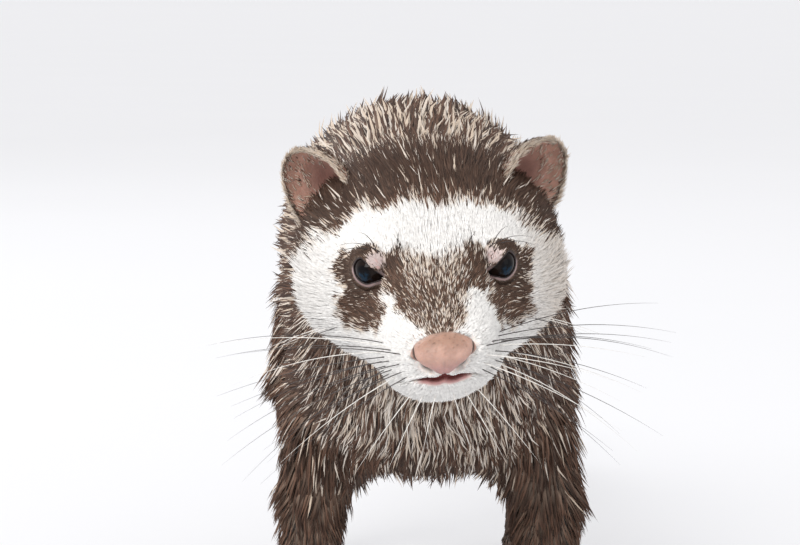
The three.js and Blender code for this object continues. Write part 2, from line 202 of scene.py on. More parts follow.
def refined(points, triangles, wanted):
    """Splits every edge of the wanted triangles, and closes their neighbours up to the new points.
    The third result is the old vertex that each new one takes its other values from."""
    ends = np.sort(np.stack([triangles, np.roll(triangles, -1, axis=1)], axis=2), axis=2)
    keys = ends[:, :, 0].astype(np.int64) * len(points) + ends[:, :, 1]
    chosen = np.unique(keys[wanted])
    place = np.minimum(np.searchsorted(chosen, keys), len(chosen) - 1)
    split = chosen[place] == keys
    first, second = chosen // len(points), chosen % len(points)
    grown = np.concatenate([points, (points[first] + points[second]) / 2])
    mid = place + len(points)
    count = split.sum(axis=1)
    whole = count == 3
    a, b, c = triangles[whole].T
    ab, bc, ca = mid[whole].T
    parts = [triangles[count == 0]]
    parts += [np.stack(part, axis=1) for part in ([a, ab, ca], [ab, b, bc], [ca, bc, c], [ab, bc, ca])]
    for corner in range(3):
        order = [(corner + step) % 3 for step in range(3)]
        one = (count == 1) & split[:, corner]
        a, b, c = triangles[one][:, order].T
        ab = mid[one][:, corner]
        parts += [np.stack(part, axis=1) for part in ([a, ab, c], [ab, b, c])]
        two = (count == 2) & ~split[:, order[2]]
        a, b, c = triangles[two][:, order].T
        ab, bc = mid[two][:, corner], mid[two][:, order[1]]
        parts += [np.stack(part, axis=1) for part in ([ab, b, bc], [a, ab, bc], [a, bc, c])]
    parents = np.concatenate([np.arange(len(points)), first])
    return grown, np.concatenate(parts).astype(np.int32), parents


def smooth_curve(knots, steps, closed=False):
    """Points on a smooth curve through the knots, with as many steps between each two."""
    knots = np.asarray(knots, float)
    if closed:
        ring = np.concatenate([knots[-1:], knots, knots[:2]])
    else:
        ring = np.concatenate([2 * knots[:1] - knots[1:2], knots, 2 * knots[-1:] - knots[-2:-1]])
    share = (np.arange(steps) / steps)[:, None]
    spans = []
    for before, start, end, after in zip(ring, ring[1:], ring[2:], ring[3:]):
        bend = 2 * before - 5 * start + 4 * end - after
        twist = 3 * start - before - 3 * end + after
        spans.append(start + 0.5 * share * (end - before + share * (bend + share * twist)))
    if not closed:
        spans.append(knots[-1:])
    return np.concatenate(spans)


def nearest_on(curve, places):
    """For each place, the distance to the nearest point of a curve, and how far along it lies."""
    apart = np.linalg.norm(places[:, None] - curve[None], axis=2)
    best = apart.argmin(axis=1)
    return apart[np.arange(len(places)), best], best / (len(curve) - 1)


# Rings joined to a closed tube, with a point at each end: the form of every small solid here.
def tube_faces(rings, columns):
    """Triangles over points laid out as the start, the rings one by one, and the end."""
    column = np.arange(columns)
    after = (column + 1) % columns
    faces = [np.stack([np.zeros(columns), 1 + after, 1 + column], axis=1)]
    for ring in range(rings - 1):
        low = 1 + ring * columns
        high = low + columns
        faces.append(np.stack([low + column, low + after, high + after], axis=1))
        faces.append(np.stack([low + column, high + after, high + column], axis=1))
    low = 1 + (rings - 1) * columns
    faces.append(np.stack([low + column, low + after, np.full(columns, low + columns)], axis=1))
    return np.concatenate(faces).astype(np.int32)


def repeated(faces, count, stride):
    """The same faces for as many copies of a mesh, each with its own points."""
    shifts = np.arange(count)[:, None, None] * stride
    return (faces[None] + shifts).reshape(-1, faces.shape[1])


def tubes(paths, radii, columns, tall=1.0):
    """Closed tapering tubes, one for each path: (count, rings, 3) points and (rings,) radii."""
    along = unit(np.gradient(paths, axis=1))
    aside = unit(np.cross(along, [0.0, 0.0, 1.0]))
    over = np.cross(aside, along)
    angle = np.arange(columns) * 2 * math.pi / columns
    reach = np.asarray(radii)[..., None, None]
    ring = aside[:, :, None] * np.cos(angle)[:, None] + tall * over[:, :, None] * np.sin(angle)[:, None]
    rings = (paths[:, :, None] + ring * reach).reshape(len(paths), -1, 3)
    points = np.concatenate([paths[:, :1], rings, paths[:, -1:]], axis=1)
    faces = repeated(tube_faces(paths.shape[1], columns)[:, ::-1], len(paths), points.shape[1])
    return points.reshape(-1, 3), faces


# Colours, as linear light.
TONES = {name: np.array(value) for name, value in {
    "white": (0.93, 0.915, 0.89), "cream": (0.64, 0.52, 0.41), "rosy": (0.66, 0.49, 0.46),
    "brown": (0.165, 0.090, 0.060), "dark": (0.040, 0.023, 0.017),
    "pale_skin": (0.84, 0.77, 0.72), "dark_skin": (0.060, 0.040, 0.032), "pink": (0.60, 0.36, 0.33),
    "pad": (0.50, 0.31, 0.25), "pad_low": (0.46, 0.255, 0.235), "pad_top": (0.37, 0.215, 0.155),
    "mouth": (0.26, 0.075, 0.07), "lip": (0.42, 0.22, 0.21), "sole": (0.24, 0.13, 0.11),
    "lid": (0.022, 0.014, 0.014), "lid_rim": (0.33, 0.235, 0.225),
    "sclera": (0.007, 0.005, 0.005), "iris": (0.009, 0.005, 0.004), "pupil": (0.002, 0.002, 0.003),
    # The bluish eye tone below is a painted reflection, not a colour of the eye.
    # The darker ear tone below is painted shade for the hollow of the ear's cup.
    "painted_reflection": (0.006, 0.022, 0.042), "ear_rim": (0.50, 0.285, 0.22), "ear_painted_shade": (0.21, 0.098, 0.076),
    "claw_root": (0.30, 0.20, 0.15), "claw_tip": (0.62, 0.52, 0.42),
    "whisker_pale": (0.80, 0.77, 0.72), "whisker_dark": (0.03, 0.022, 0.02),
}.items()}


def towards(tones, name, share):
    return tones + (TONES[name] - tones) * share[:, None]


# Materials. Colours come from each mesh's own "tone", broken up by noise.
def new_material(name):
    material = bpy.data.materials.new(name)
    material.use_nodes = True
    return material, material.node_tree.nodes, material.node_tree.links


def add_noise(nodes, links, scale):
    place = nodes.new("ShaderNodeTexCoord")
    texture = nodes.new("ShaderNodeTexNoise")
    texture.inputs["Scale"].default_value = scale
    texture.inputs["Detail"].default_value = 4.0
    links.new(place.outputs["Object"], texture.inputs["Vector"])
    return texture.outputs["Fac"]


def add_range(nodes, links, value, low, high, start=0.3, end=0.7):
    """Maps a value from start..end to low..high."""
    node = nodes.new("ShaderNodeMapRange")
    for socket, number in (("From Min", start), ("From Max", end), ("To Min", low), ("To Max", high)):
        node.inputs[socket].default_value = number
    links.new(value, node.inputs["Value"])
    return node.outputs["Result"]


def tone_times(nodes, links, factor, output):
    attribute = nodes.new("ShaderNodeAttribute")
    attribute.attribute_name = "tone"
    scale = nodes.new("ShaderNodeVectorMath")
    scale.operation = "SCALE"
    links.new(attribute.outputs["Color"], scale.inputs[0])
    links.new(factor, scale.inputs["Scale"])
    links.new(scale.outputs["Vector"], output)


def noise_between(nodes, links, scale, low, high):
    return add_range(nodes, links, add_noise(nodes, links, scale), low, high)


def mottled(name, light, roughness, constants):
    """A material whose light, and roughness if given, vary with noise: its scale, lowest and highest."""
    material, nodes, links = new_material(name)
    shader = nodes["Principled BSDF"]
    tone_times(nodes, links, noise_between(nodes, links, *light), shader.inputs["Base Color"])
    if roughness:
        links.new(noise_between(nodes, links, *roughness), shader.inputs["Roughness"])
    for socket, value in constants.items():
        shader.inputs[socket].default_value = value
    return material


def skin_material():
    """Blotched skin with a fine pebbled grain, smoother where it is wet."""
    material = mottled("skin", (600, 0.84, 1.12), None, {
        "Specular IOR Level": 0.3, "Subsurface Weight": 0.12, "Subsurface Radius": (1.0, 0.4, 0.25),
        "Subsurface Scale": 0.0008,
    })
    nodes, links = material.node_tree.nodes, material.node_tree.links
    shader = nodes["Principled BSDF"]
    wetness = nodes.new("ShaderNodeAttribute")
    wetness.attribute_name = "wet"
    links.new(add_range(nodes, links, wetness.outputs["Fac"], 0.62, 0.30, 0, 1), shader.inputs["Roughness"])
    place = nodes.new("ShaderNodeTexCoord")
    grain = nodes.new("ShaderNodeTexVoronoi")
    grain.inputs["Scale"].default_value = 2600
    links.new(place.outputs["Object"], grain.inputs["Vector"])
    bump = nodes.new("ShaderNodeBump")
    bump.inputs["Strength"].default_value = 0.28
    bump.inputs["Distance"].default_value = 0.0002
    links.new(grain.outputs["Distance"], bump.inputs["Height"])
    links.new(bump.outputs["Normal"], shader.inputs["Normal"])
    return material


MATERIALS = {
    "coat": mottled("coat", (1400, 0.86, 1.08), (1400, 0.5, 0.72), {"Specular IOR Level": 0.13}),
    "skin": skin_material(),
    "eye": mottled("eyeball", (1800, 0.7, 1.4), (900, 0.02, 0.06), {
        "Specular IOR Level": 0.07, "Coat Weight": 0.10, "Coat Roughness": 0.02,
    }),
    "horn": mottled("horn", (1500, 0.8, 1.15), (1500, 0.28, 0.5), {}),
}


def finish_piece(piece, material, slot, *nodes):
    piece.data.materials.append(MATERIALS[material])
    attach(piece, "root")
    if nodes:
        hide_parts(*nodes)


# The body by kinds of node. Rounds smooth the skin, depth is from the skin to the coat's outline, and
# the rest is its coat: length and width of its locks, locks to a square millimetre, and how cream its
# pale hair and how common its dark hair is. On the head, HEAD_DEPTHS and HEAD_COAT give these instead.
KIND_KEYS = ("rounds", "depth", "length", "width", "dense", "cream", "dark")
KIND_ROWS = {
    "head": (8, 0, 0, 0, 0, 0, 0.5),
    "jaw": (4, 0.9, 0, 0, 0, 0, 0),
    "nose": (1, 0.1, 0, 0, 0, 0, 0),
    "eye": (4, 0.5, 0, 0, 0, 0, 0.9),
    "neck": (60, 6.0, 14, 0.48, 2.12, 0.85, 0.78),
    "chest": (90, 8.0, 17, 0.60, 1.9, 0.95, 0.84),
    "loin": (90, 8.5, 19, 0.82, 0.68, 1.0, 0.60),
    "rump": (90, 8.0, 19, 0.80, 0.80, 1.0, 0.74),
    "tail_base": (50, 7.0, 17, 0.72, 1.1, 0.9, 0.92),
    "tail_middle": (50, 8.5, 19, 0.72, 1.3, 0.8, 0.96),
    "tail_end": (40, 7.0, 19, 0.72, 1.5, 0.8, 0.98),
    "upper_arm": (40, 5.0, 12, 0.62, 1.0, 0.9, 0.96),
    "forearm": (20, 2.4, 6.5, 0.48, 1.5, 0.9, 1.0),
    "forepaw": (4, 0.8, 3.0, 0.36, 3.4, 0.9, 1.0),
    "thigh": (40, 6.0, 14, 0.78, 0.75, 0.9, 0.86),
    "shank": (20, 2.6, 6.5, 0.52, 1.3, 0.9, 1.0),
    "hindpaw": (4, 0.8, 3.0, 0.38, 2.8, 0.9, 1.0),
}
HEAD_DEPTHS = {  # at a distance behind the eyes
    -27: 0.3, -20: 0.7, -14: 1.0, -7: 1.3, 0: 1.7, 8: 2.4, 17: 3.4, 28: 4.4, 42: 5.6,
}
DEPTH_AT_EYE = {"least": 0.5, "from": 4.5, "grows": 0.25}  # no deeper than this near an eye
FACE = ("head", "jaw", "nose", "eye")
TRUNK = ("neck", "chest", "loin", "rump")
TAIL = ("tail_base", "tail_middle", "tail_end")


def kind_of(node):
    return node.removesuffix("_left").removesuffix("_right")


FLESH = sorted(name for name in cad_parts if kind_of(name) != "ear")
KINDS = sorted({kind_of(name) for name in FLESH})


def is_kind(kinds, *names):
    return np.isin(kinds, [KINDS.index(name) for name in names])


def by_kind(key, kinds):
    column = KIND_KEYS.index(key)
    return np.array([KIND_ROWS[kind][column] for kind in KINDS], float)[kinds]


def spine_line():
    """The middle of the trunk and tail at steps along Y: rows of y, x and z in metres."""
    points = np.concatenate([arrays_of(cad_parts[name])[0] for name in TRUNK + TAIL])
    half = 9 * MM
    rows = []
    for y in np.arange(points[:, 1].min() + half, points[:, 1].max() - half / 2, half):
        near = points[np.abs(points[:, 1] - y) < half]
        low, high = near.min(axis=0), near.max(axis=0)
        rows.append([y, (low[0] + high[0]) / 2, (low[2] + high[2]) / 2])
    return np.array(rows).T


SPINE = spine_line()


def spine_at(y):
    return np.interp(y, SPINE[0], SPINE[1]), np.interp(y, SPINE[0], SPINE[2])


def spine_direction(points):
    step = 8 * MM
    (x0, z0), (x1, z1) = spine_at(points[:, 1] - step), spine_at(points[:, 1] + step)
    return unit(np.stack([x1 - x0, np.full(len(points), 2 * step), z1 - z0], axis=1))


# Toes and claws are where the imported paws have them, given in the body's frame.
PAWS = {
    "forepaw": {"palm": (24.5, -100.5), "stride": {"left": -7, "right": 7}, "toe": 11.2, "claw": 5.0},
    "hindpaw": {"palm": (28.5, 63.0), "stride": {"left": 8, "right": -8}, "toe": 12.0, "claw": 4.2},
}
TOE = {"turns": [-34, -15, 1, 17, 36], "reach": [0.76, 0.96, 1.0, 0.94, 0.74], "start": 0.5, "covered": 4.5}
PAW_TURN = 5  # degrees outwards
GROOVE = {"depth": 1.5, "half": 3.6, "from": 7.0, "to": 10.0}  # between toes, half its width in degrees
FEET_HIGH = 9
CLAW_CUT = {"before": 0.5, "aside": 5}  # what counts as a claw, from the toe's end and from its line


def toes(paw, side):
    """The middle of the palm, and each toe's direction and length."""
    sign = SIDES[side]
    shape = PAWS[paw]
    palm = np.array([sign * shape["palm"][0], shape["palm"][1] + shape["stride"][side], 0])
    result = []
    for turn, reach in zip(TOE["turns"], TOE["reach"]):
        angle = math.radians(sign * (turn + PAW_TURN))
        ahead = np.array([math.sin(angle), -math.cos(angle), 0])
        result.append((ahead, TOE["start"] + TOE["covered"] + shape["toe"] * reach))
    return palm, result


def without_claws(points, paw, side):
    """A packed paw's points, with those of its claws drawn back into the toes."""
    palm, each = toes(paw, side)
    places = to_body(points) - palm
    for ahead, length in each:
        along = places @ ahead
        aside = np.linalg.norm(places - along[:, None] * ahead, axis=1)
        end = length - CLAW_CUT["before"]
        claw = (along > end) & (aside < CLAW_CUT["aside"])
        places[claw] += ahead * (end - along[claw])[:, None]
    return from_body(places + palm)


# The skin: the flesh nodes joined as one closed mesh, smoothed, and set in by the coat's depth.
VOXEL = 1.5
WELD = 0.01  # points of a node nearer than this become one
CLOSE_GAPS = 0.22  # how far each node swells, so that neighbours join
SET_IN_STEPS = 10
KIND_BLEND = 12  # rounds that soften the change from one kind of node to the next
TAIL_TIP = {"from": 226, "to": 251, "end": 241, "radius": 3.3}  # along Y, and its thickness


def flesh_shells():
    """Each node under the skin as points, triangles and the number of its kind."""
    shells = []
    for name in FLESH:
        points, triangles = arrays_of(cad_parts[name])
        if kind_of(name) in PAWS:
            points = without_claws(points, kind_of(name), name.rsplit("_", 1)[1])
        keys = np.round(points / (WELD * MM)).astype(np.int64)
        _, first, back = np.unique(keys, axis=0, return_index=True, return_inverse=True)
        points, triangles = points[first], back.reshape(-1)[triangles]
        distinct = (triangles != np.roll(triangles, 1, axis=1)).all(axis=1)
        shells.append((points, triangles[distinct], KINDS.index(kind_of(name))))
    return shells


def joined(shells, swell):
    points, triangles, kinds, start = [], [], [], 0
    for shell, faces, kind in shells:
        points.append(shell + vertex_normals(shell, faces) * swell * MM)
        triangles.append(faces + start)
        kinds.append(np.full(len(faces), kind))
        start += len(shell)
    return np.concatenate(points), np.concatenate(triangles), np.concatenate(kinds)


def kinds_at(points, shells):
    """The kind of the node that is nearest to each point."""
    shell_points, faces, kinds = joined(shells, 0)
    tree = bvhtree.BVHTree.FromPolygons(shell_points.tolist(), faces.tolist())
    nearest = [tree.find_nearest(Vector(point))[2] for point in points.tolist()]
    return kinds[np.array(nearest)]


def voxel_skin(shells):
    points, faces, _ = joined(shells, CLOSE_GAPS)
    piece = new_mesh("joined", points, faces)
    remesh = piece.modifiers.new("join", "REMESH")
    remesh.mode = "VOXEL"
    remesh.voxel_size = VOXEL * MM
    piece.data = bpy.data.meshes.new_from_object(
        piece.evaluated_get(bpy.context.evaluated_depsgraph_get()))
    arrays = arrays_of(piece)
    bpy.data.objects.remove(piece)
    return arrays


def eye_distance(local):
    """How far a point of the head is from the nearer eyeball's middle."""
    folded = np.abs(local) * [1, 0, 0] + local * [0, 1, 1]
    return np.linalg.norm(folded - EYE_IN_HEAD, axis=1)


def head_depth(local):
    depth = np.interp(local[:, 1], list(HEAD_DEPTHS), list(HEAD_DEPTHS.values()))
    beyond = np.clip(eye_distance(local) - DEPTH_AT_EYE["from"], 0, 20)
    return np.minimum(depth, DEPTH_AT_EYE["least"] + beyond * DEPTH_AT_EYE["grows"])


def rounded_tail(points):
    """The tail's last part drawn in to a blunt tip, which leaves room for its hair."""
    share = np.clip((points[:, 1] / MM - TAIL_TIP["from"]) / (TAIL_TIP["to"] - TAIL_TIP["from"]), 0, 1)
    end = share > 0
    x, z = spine_at(points[end, 1])
    offsets = points[end] - np.stack([x, points[end, 1], z], axis=1)
    reach = np.linalg.norm(offsets, axis=1)
    most = TAIL_TIP["radius"] * MM * np.sqrt(1.0001 - share[end] ** 2)
    offsets *= (np.minimum(reach, most) / np.maximum(reach, 1e-6))[:, None]
    y = (TAIL_TIP["from"] + (TAIL_TIP["end"] - TAIL_TIP["from"]) * share[end]) * MM
    x, z = spine_at(y)
    result = points.copy()
    result[end] = np.stack([x, y, z], axis=1) + offsets
    return result


def base_skin():
    """A skin is its points in metres, its triangles, and the number of the kind at each point."""
    shells = flesh_shells()
    points, triangles = voxel_skin(shells)
    kinds = kinds_at(points, shells)
    near = Neighbours(len(points), triangles)
    depth = by_kind("depth", kinds)
    on_head = is_kind(kinds, "head")
    depth[on_head] = head_depth(to_head(points[on_head]))
    depth = near.soften(depth, KIND_BLEND)
    rounds = near.soften(by_kind("rounds", kinds), KIND_BLEND)
    for step in range(int(rounds.max())):
        mix = 0.5 * np.clip(rounds - step, 0, 1)[:, None]
        points += (near.mean(points) - points) * mix
    for _ in range(SET_IN_STEPS):
        points -= vertex_normals(points, triangles) * (depth / SET_IN_STEPS * MM)[:, None]
        points += (near.mean(points) - points) * np.clip((depth - 1) / 8, 0, 0.5)[:, None]
    return rounded_tail(points), triangles, kinds


def refine_where(skin, test, *values):
    points, triangles, kinds = skin
    wanted = test(points, *values)[triangles].any(axis=1)
    points, triangles, parents = refined(points, triangles, wanted)
    return points, triangles, kinds[parents]


def low_down(points):
    return to_body(points)[:, 2] < FEET_HIGH


def part_toes(skin):
    """Grooves between the toes."""
    points, triangles, kinds = refine_where(skin, low_down)
    normals = vertex_normals(points, triangles)
    depth = np.zeros(len(points))
    turns = np.array(TOE["turns"]) + PAW_TURN
    gaps = (turns[1:] + turns[:-1]) / 2
    for paw in PAWS:
        for side, sign in SIDES.items():
            own = is_kind(kinds, paw) & (np.sign(points[:, 0]) == sign)
            palm, _ = toes(paw, side)
            places = to_body(points[own]) - palm
            turn = np.degrees(np.arctan2(places[:, 0] * sign, -places[:, 1]))
            grooves = sum(bump_at(turn, gap, GROOVE["half"]) for gap in gaps)
            reach = np.hypot(places[:, 0], places[:, 1])
            grooves *= smooth_step(GROOVE["from"], GROOVE["to"], reach)
            depth[own] = grooves * (normals[own, 2] > -0.4)
    return points - normals * (depth * GROOVE["depth"] * MM)[:, None], triangles, kinds


# The lids. Each eye has a frame of its own: across, up, and out along its gaze.
EYE_RADIUS = 3.8
BALL_CONE = {"from": 3.1, "slope": 1.1}  # beyond this distance from its axis the lids follow a cone
GAZE = {"aside": 35, "up": 2}  # degrees from straight ahead
LID_KNOTS = [  # the opening between the lids, across and up from the middle of the ball
    (-3.3, -0.75), (-1.6, -1.65), (-0.1, -2.05), (1.6, -1.2), (2.6, 0.5),
    (2.0, 1.9), (0.9, 2.45), (-0.35, 2.0), (-1.8, 1.1),
]
LID_PROUD = 0.32  # how far the lid's edge stands over the ball
LID_REACH = 6.5  # from the ball's axis to where the lids end in the face
LID_REFINING = ((LID_REACH, math.inf), (5.2, math.inf), (5, 1.0), (5, 0.45))  # near the axis, and the edge
LID_RISE = {"high": 0.22, "to": 0.7, "ends": 2.3}  # outwards from the edge, until the lid ends in the face
LID_FOLD = {"at": 1.45, "half": 0.22, "deep": 0.16, "deeper": 0.12}  # deeper on the upper lid
LID_SWELL = {"at": 0.9, "half": 0.3, "high": 0.12}
LID_WELL = {"from": 0.02, "to": 0.3, "deep": 1.25}  # the skin behind the ball, inside the opening
BROW = {"at": (-2.4, 2.0), "long": 2.0, "high": 1.1, "slope": 0.7}  # the pale place over the inner corner


def eye_axes(sign):
    """Rows across, up and out, in the head's frame."""
    aside, up = math.radians(GAZE["aside"]), math.radians(GAZE["up"])
    level = math.cos(up)
    out = np.array([sign * math.sin(aside) * level, -math.cos(aside) * level, math.sin(up)])
    across = np.array([sign * math.cos(aside), math.sin(aside), 0])
    above = unit(np.array([0, 0, 1.0]) - out * out[2])
    return np.stack([across, above, out])


def in_eye_frame(points, sign):
    return (to_head(points) - EYE_IN_HEAD * [sign, 1, 1]) @ eye_axes(sign).T


def from_eye_frame(places, sign):
    return from_head(places @ eye_axes(sign) + EYE_IN_HEAD * [sign, 1, 1])


def near_eye(places, reach):
    return (np.linalg.norm(places[:, :2], axis=1) < reach) & (places[:, 2] > 0)


def lid_edge_distance(places):
    """Distance from the edge of the lids, under zero inside the opening."""
    curve = smooth_curve(LID_KNOTS, 16, closed=True)
    apart, _ = nearest_on(curve, places[:, :2])
    centre = curve.mean(axis=0)
    angles = np.arctan2(*(curve - centre).T[::-1])
    order = angles.argsort()
    reach = np.linalg.norm(curve - centre, axis=1)[order]
    offsets = places[:, :2] - centre
    limit = np.interp(np.arctan2(*offsets.T[::-1]), angles[order], reach, period=2 * math.pi)
    return np.where(np.linalg.norm(offsets, axis=1) < limit, -apart, apart)


def ball_height(across):
    """Height of the eyeball's front at a distance from its axis, running on outside as a cone."""
    on_ball = np.sqrt(EYE_RADIUS**2 - np.minimum(across, BALL_CONE["from"]) ** 2)
    return on_ball - BALL_CONE["slope"] * np.maximum(across - BALL_CONE["from"], 0)


def near_lids(points, sign, reach, edge):
    """Which points lie within reach of the eye's axis and of the lids' edge."""
    places = in_eye_frame(points, sign)
    near = near_eye(places, reach)
    near[near] = np.abs(lid_edge_distance(places[near])) < edge
    return near


def carve_lids(skin, sign):
    for reach, edge in LID_REFINING:
        skin = refine_where(skin, near_lids, sign, reach, edge)
    points, triangles, kinds = skin
    near = Neighbours(len(points), triangles)
    places = in_eye_frame(points, sign)
    across = np.linalg.norm(places[:, :2], axis=1)
    zone = near_eye(places, LID_REACH)
    inside = near.soften(zone.astype(float), 2) * smooth_step(LID_REACH, LID_REACH - 1, across)
    for _ in range(6):
        points += (near.mean(points) - points) * (inside * 0.6)[:, None]
    places = in_eye_frame(points[zone], sign)
    edge = lid_edge_distance(places)
    own = places[:, 2]
    ball = ball_height(np.linalg.norm(places[:, :2], axis=1))
    upper = smooth_step(-0.4, 0.8, places[:, 1])
    lid = ball + LID_PROUD + LID_RISE["high"] * smooth_step(0, LID_RISE["to"], edge)
    lid += (own - lid) * smooth_step(LID_RISE["to"], LID_RISE["ends"], edge)
    fold = bump_at(edge, LID_FOLD["at"], LID_FOLD["half"])
    lid -= (LID_FOLD["deep"] + LID_FOLD["deeper"] * upper) * fold
    lid += LID_SWELL["high"] * bump_at(edge, LID_SWELL["at"], LID_SWELL["half"])
    well = ball + LID_PROUD - LID_WELL["deep"] * smooth_step(LID_WELL["from"], LID_WELL["to"], -edge)
    places[:, 2] = np.where(edge < 0, well, np.maximum(lid, ball + LID_PROUD * 0.8))
    points[zone] = from_eye_frame(places, sign)
    return points, triangles, kinds


# The nose pad, nostrils and mouth, in the head's frame seen from the front: x across, z up.
PAD = {"half": np.array([5.9, 4.3, 3.8]), "low": 0.4, "pinch": 0.5, "below": -7.4, "within": 12.0}
PAD_MIDDLE = np.array([0, -20.5, -8.0])  # of the muzzle's tip, from which the pad is pushed out
HALVINGS = 22
NOSTRIL = [(5.2, -6.4), (4.9, -7.5), (4.3, -8.9), (3.5, -9.95), (2.4, -10.5)]
NOSTRIL_DEPTHS = ([0, 0.35, 0.7, 0.9, 1], [0.25, 0.5, 1.0, 1.9, 1.3])
NOSTRIL_WIDTHS = ([0, 0.5, 0.85, 1], [0.28, 0.32, 0.55, 0.4])
LIP_LINE = [(0, -11.3), (1.2, -11.75), (3.0, -11.8), (4.8, -12.35), (6.6, -13.2), (9.5, -14.1)]
MOUTH_GAPS = ([0, 2.2, 3.8, 5.2], [1.2, 1.05, 0.5, 0.1])  # how far it is open, from the middle outwards
MOUTH_DEPTH = 1.7
LIPS = {  # how far each stands out, how far below its edge, and where it ends to each side
    "upper": {"out": 0.3, "at": -0.5, "half": 0.4, "ends": (8, 4)},
    "lower": {"out": 0.35, "at": 0.75, "half": 0.5, "ends": (6.5, 3)},
}
PAD_CREASE = {"at": -0.25, "half": 0.3, "deep": 0.28}
SEAM = {"half": 0.28, "deep": 0.3, "top": (-6.5, -8.5), "foot": (-11.9, -11.2)}  # down to the mouth
FRONT = -19.0  # the muzzle's tip is before this
MUZZLE_LEAN = 0.075  # nose and mouth rise towards the animal's left


def pad_reach(directions):
    """Distance from PAD_MIDDLE to the pad's surface, by halving."""
    low = np.zeros(len(directions))
    high = np.full(len(directions), PAD["within"])
    for _ in range(HALVINGS):
        reach = (low + high) / 2
        places = PAD_MIDDLE + directions * reach[:, None] - NOSE_IN_HEAD + [0, 0, PAD["low"]]
        below = np.clip((PAD["below"] - NOSE_IN_HEAD[2] - places[:, 2]) / PAD["half"][2], 0, 1)
        places[:, 0] /= 1 - PAD["pinch"] * below
        inside = ((places / PAD["half"]) ** 2).sum(axis=1) < 1
        low, high = np.where(inside, reach, low), np.where(inside, high, reach)
    return low


def under_lip_line(local):
    """How far a place of the muzzle is below the edge of the upper lip, and the mouth's gap there."""
    across = np.abs(local[:, 0])
    line = smooth_curve(LIP_LINE, 6)
    return np.interp(across, line[:, 0], line[:, 1]) - local[:, 2], np.interp(across, *MOUTH_GAPS)


def nostril_distance(local):
    folded = np.stack([np.abs(local[:, 0]), local[:, 2]], axis=1)
    return nearest_on(smooth_curve(NOSTRIL, 10), folded)


def at_tip(points):
    local = to_head(points)
    return (local[:, 1] < FRONT) & (np.abs(local[:, 0]) < 9)


def at_mouth_or_nostrils(points):
    local = to_head(points)
    near = (local[:, 1] < -21) & (np.abs(local[:, 0]) < 7)
    under_lip, _ = under_lip_line(local[near])
    near[near] = ((under_lip > -0.8) & (under_lip < 2.0)) | (nostril_distance(local[near])[0] < 1.0)
    return near


def stands_out(lip, under_lip, side):
    return lip["out"] * bump_at(under_lip, lip["at"], lip["half"]) * smooth_step(*lip["ends"], side)


def carve_muzzle(skin):
    """The skin with its nose pad, nostrils and mouth, and how much of each lies at each vertex."""
    for test in (at_tip, at_tip, at_mouth_or_nostrils):
        skin = refine_where(skin, test)
    points, triangles, kinds = skin
    near = Neighbours(len(points), triangles)
    local = to_head(points)
    zone = smooth_step(FRONT, FRONT - 1.5, local[:, 1])
    for _ in range(5):
        local += (near.mean(local) - local) * (zone * 0.5)[:, None]
    offsets = local - PAD_MIDDLE
    reach = np.linalg.norm(offsets, axis=1)
    ahead = unit(offsets)
    facing = local[:, 1] < PAD_MIDDLE[1]
    pad = np.zeros(len(local))
    pad[facing] = pad_reach(ahead[facing])
    proud = pad - reach
    reach = np.where(facing & (proud > 0), pad, reach)
    reach -= PAD_CREASE["deep"] * facing * bump_at(proud, PAD_CREASE["at"], PAD_CREASE["half"])
    apart, along = nostril_distance(local)
    holes = bump_at(apart, 0, np.interp(along, *NOSTRIL_WIDTHS)) * (local[:, 1] < -20.8)
    reach -= np.interp(along, *NOSTRIL_DEPTHS) * holes
    seam = bump_at(local[:, 0], 0, SEAM["half"]) * smooth_step(*SEAM["top"], local[:, 2])
    reach -= SEAM["deep"] * seam * smooth_step(*SEAM["foot"], local[:, 2]) * facing
    moved = PAD_MIDDLE + ahead * reach[:, None]
    side = np.abs(moved[:, 0])
    front = smooth_step(-16, -21, moved[:, 1])
    under_lip, gap = under_lip_line(moved)
    opened = smooth_step(-0.12, 0.2, under_lip) * smooth_step(gap + 0.3, gap - 0.05, under_lip)
    opened *= front * smooth_step(8.5, 5.5, side)
    lips = stands_out(LIPS["upper"], under_lip, side) + stands_out(LIPS["lower"], under_lip - gap, side)
    moved[:, 1] += MOUTH_DEPTH * opened - front * lips
    return from_head(moved), triangles, kinds, {"pad": proud, "holes": holes, "mouth": opened}


def leaned(local):
    """Head places with the muzzle's left raised and its right lowered."""
    result = local.copy()
    result[..., 2] += MUZZLE_LEAN * local[..., 0] * smooth_step(-12, -20, local[..., 1])
    return result


# Markings of the head, by its own frame: the share of dark hair at a point.
FACE_SLOPE = math.radians(20)  # the face is read from in front of and above its own axis
FACE_RISE = 0.37  # added to heights on the face
PATCHES = [  # beside each eye: middle across and up, and half sizes
    {"x": 12.4, "h": -0.6, "wide": 4.8, "high": 3.7}, {"x": 12.6, "h": -6.2, "wide": 3.8, "high": 5.5},
]
PATCH_DARK = 0.92
# Half the width of the brown bridge of the nose, by height.
BRIDGE = ([-15.5, -13.5, -11, -8, -4, 0, 3.5, 5], [0, 2.0, 3.8, 6.4, 8.9, 9.2, 7.0, 5.0])
BRIDGE_DARK = {"middle": 0.75, "edge": 0.22, "ends": (-17, -12)}  # its dark share, and its lower end
WHITE_STREAK = 4.3  # on its left the bridge is no wider than this, below the eye
FACE_ENDS = (11, 8)  # behind the eyes, where the patches and the bridge fade out
# Where the dark crown starts behind the eyes: further back at the side, and further still on the cheek.
# The crown's dark share is its own colour, set high partly as painted shade over the crown.
CROWN = {"middle": 7.0, "side": 5.5, "half": 20.0, "cheek": 0.8, "dark": 0.97}


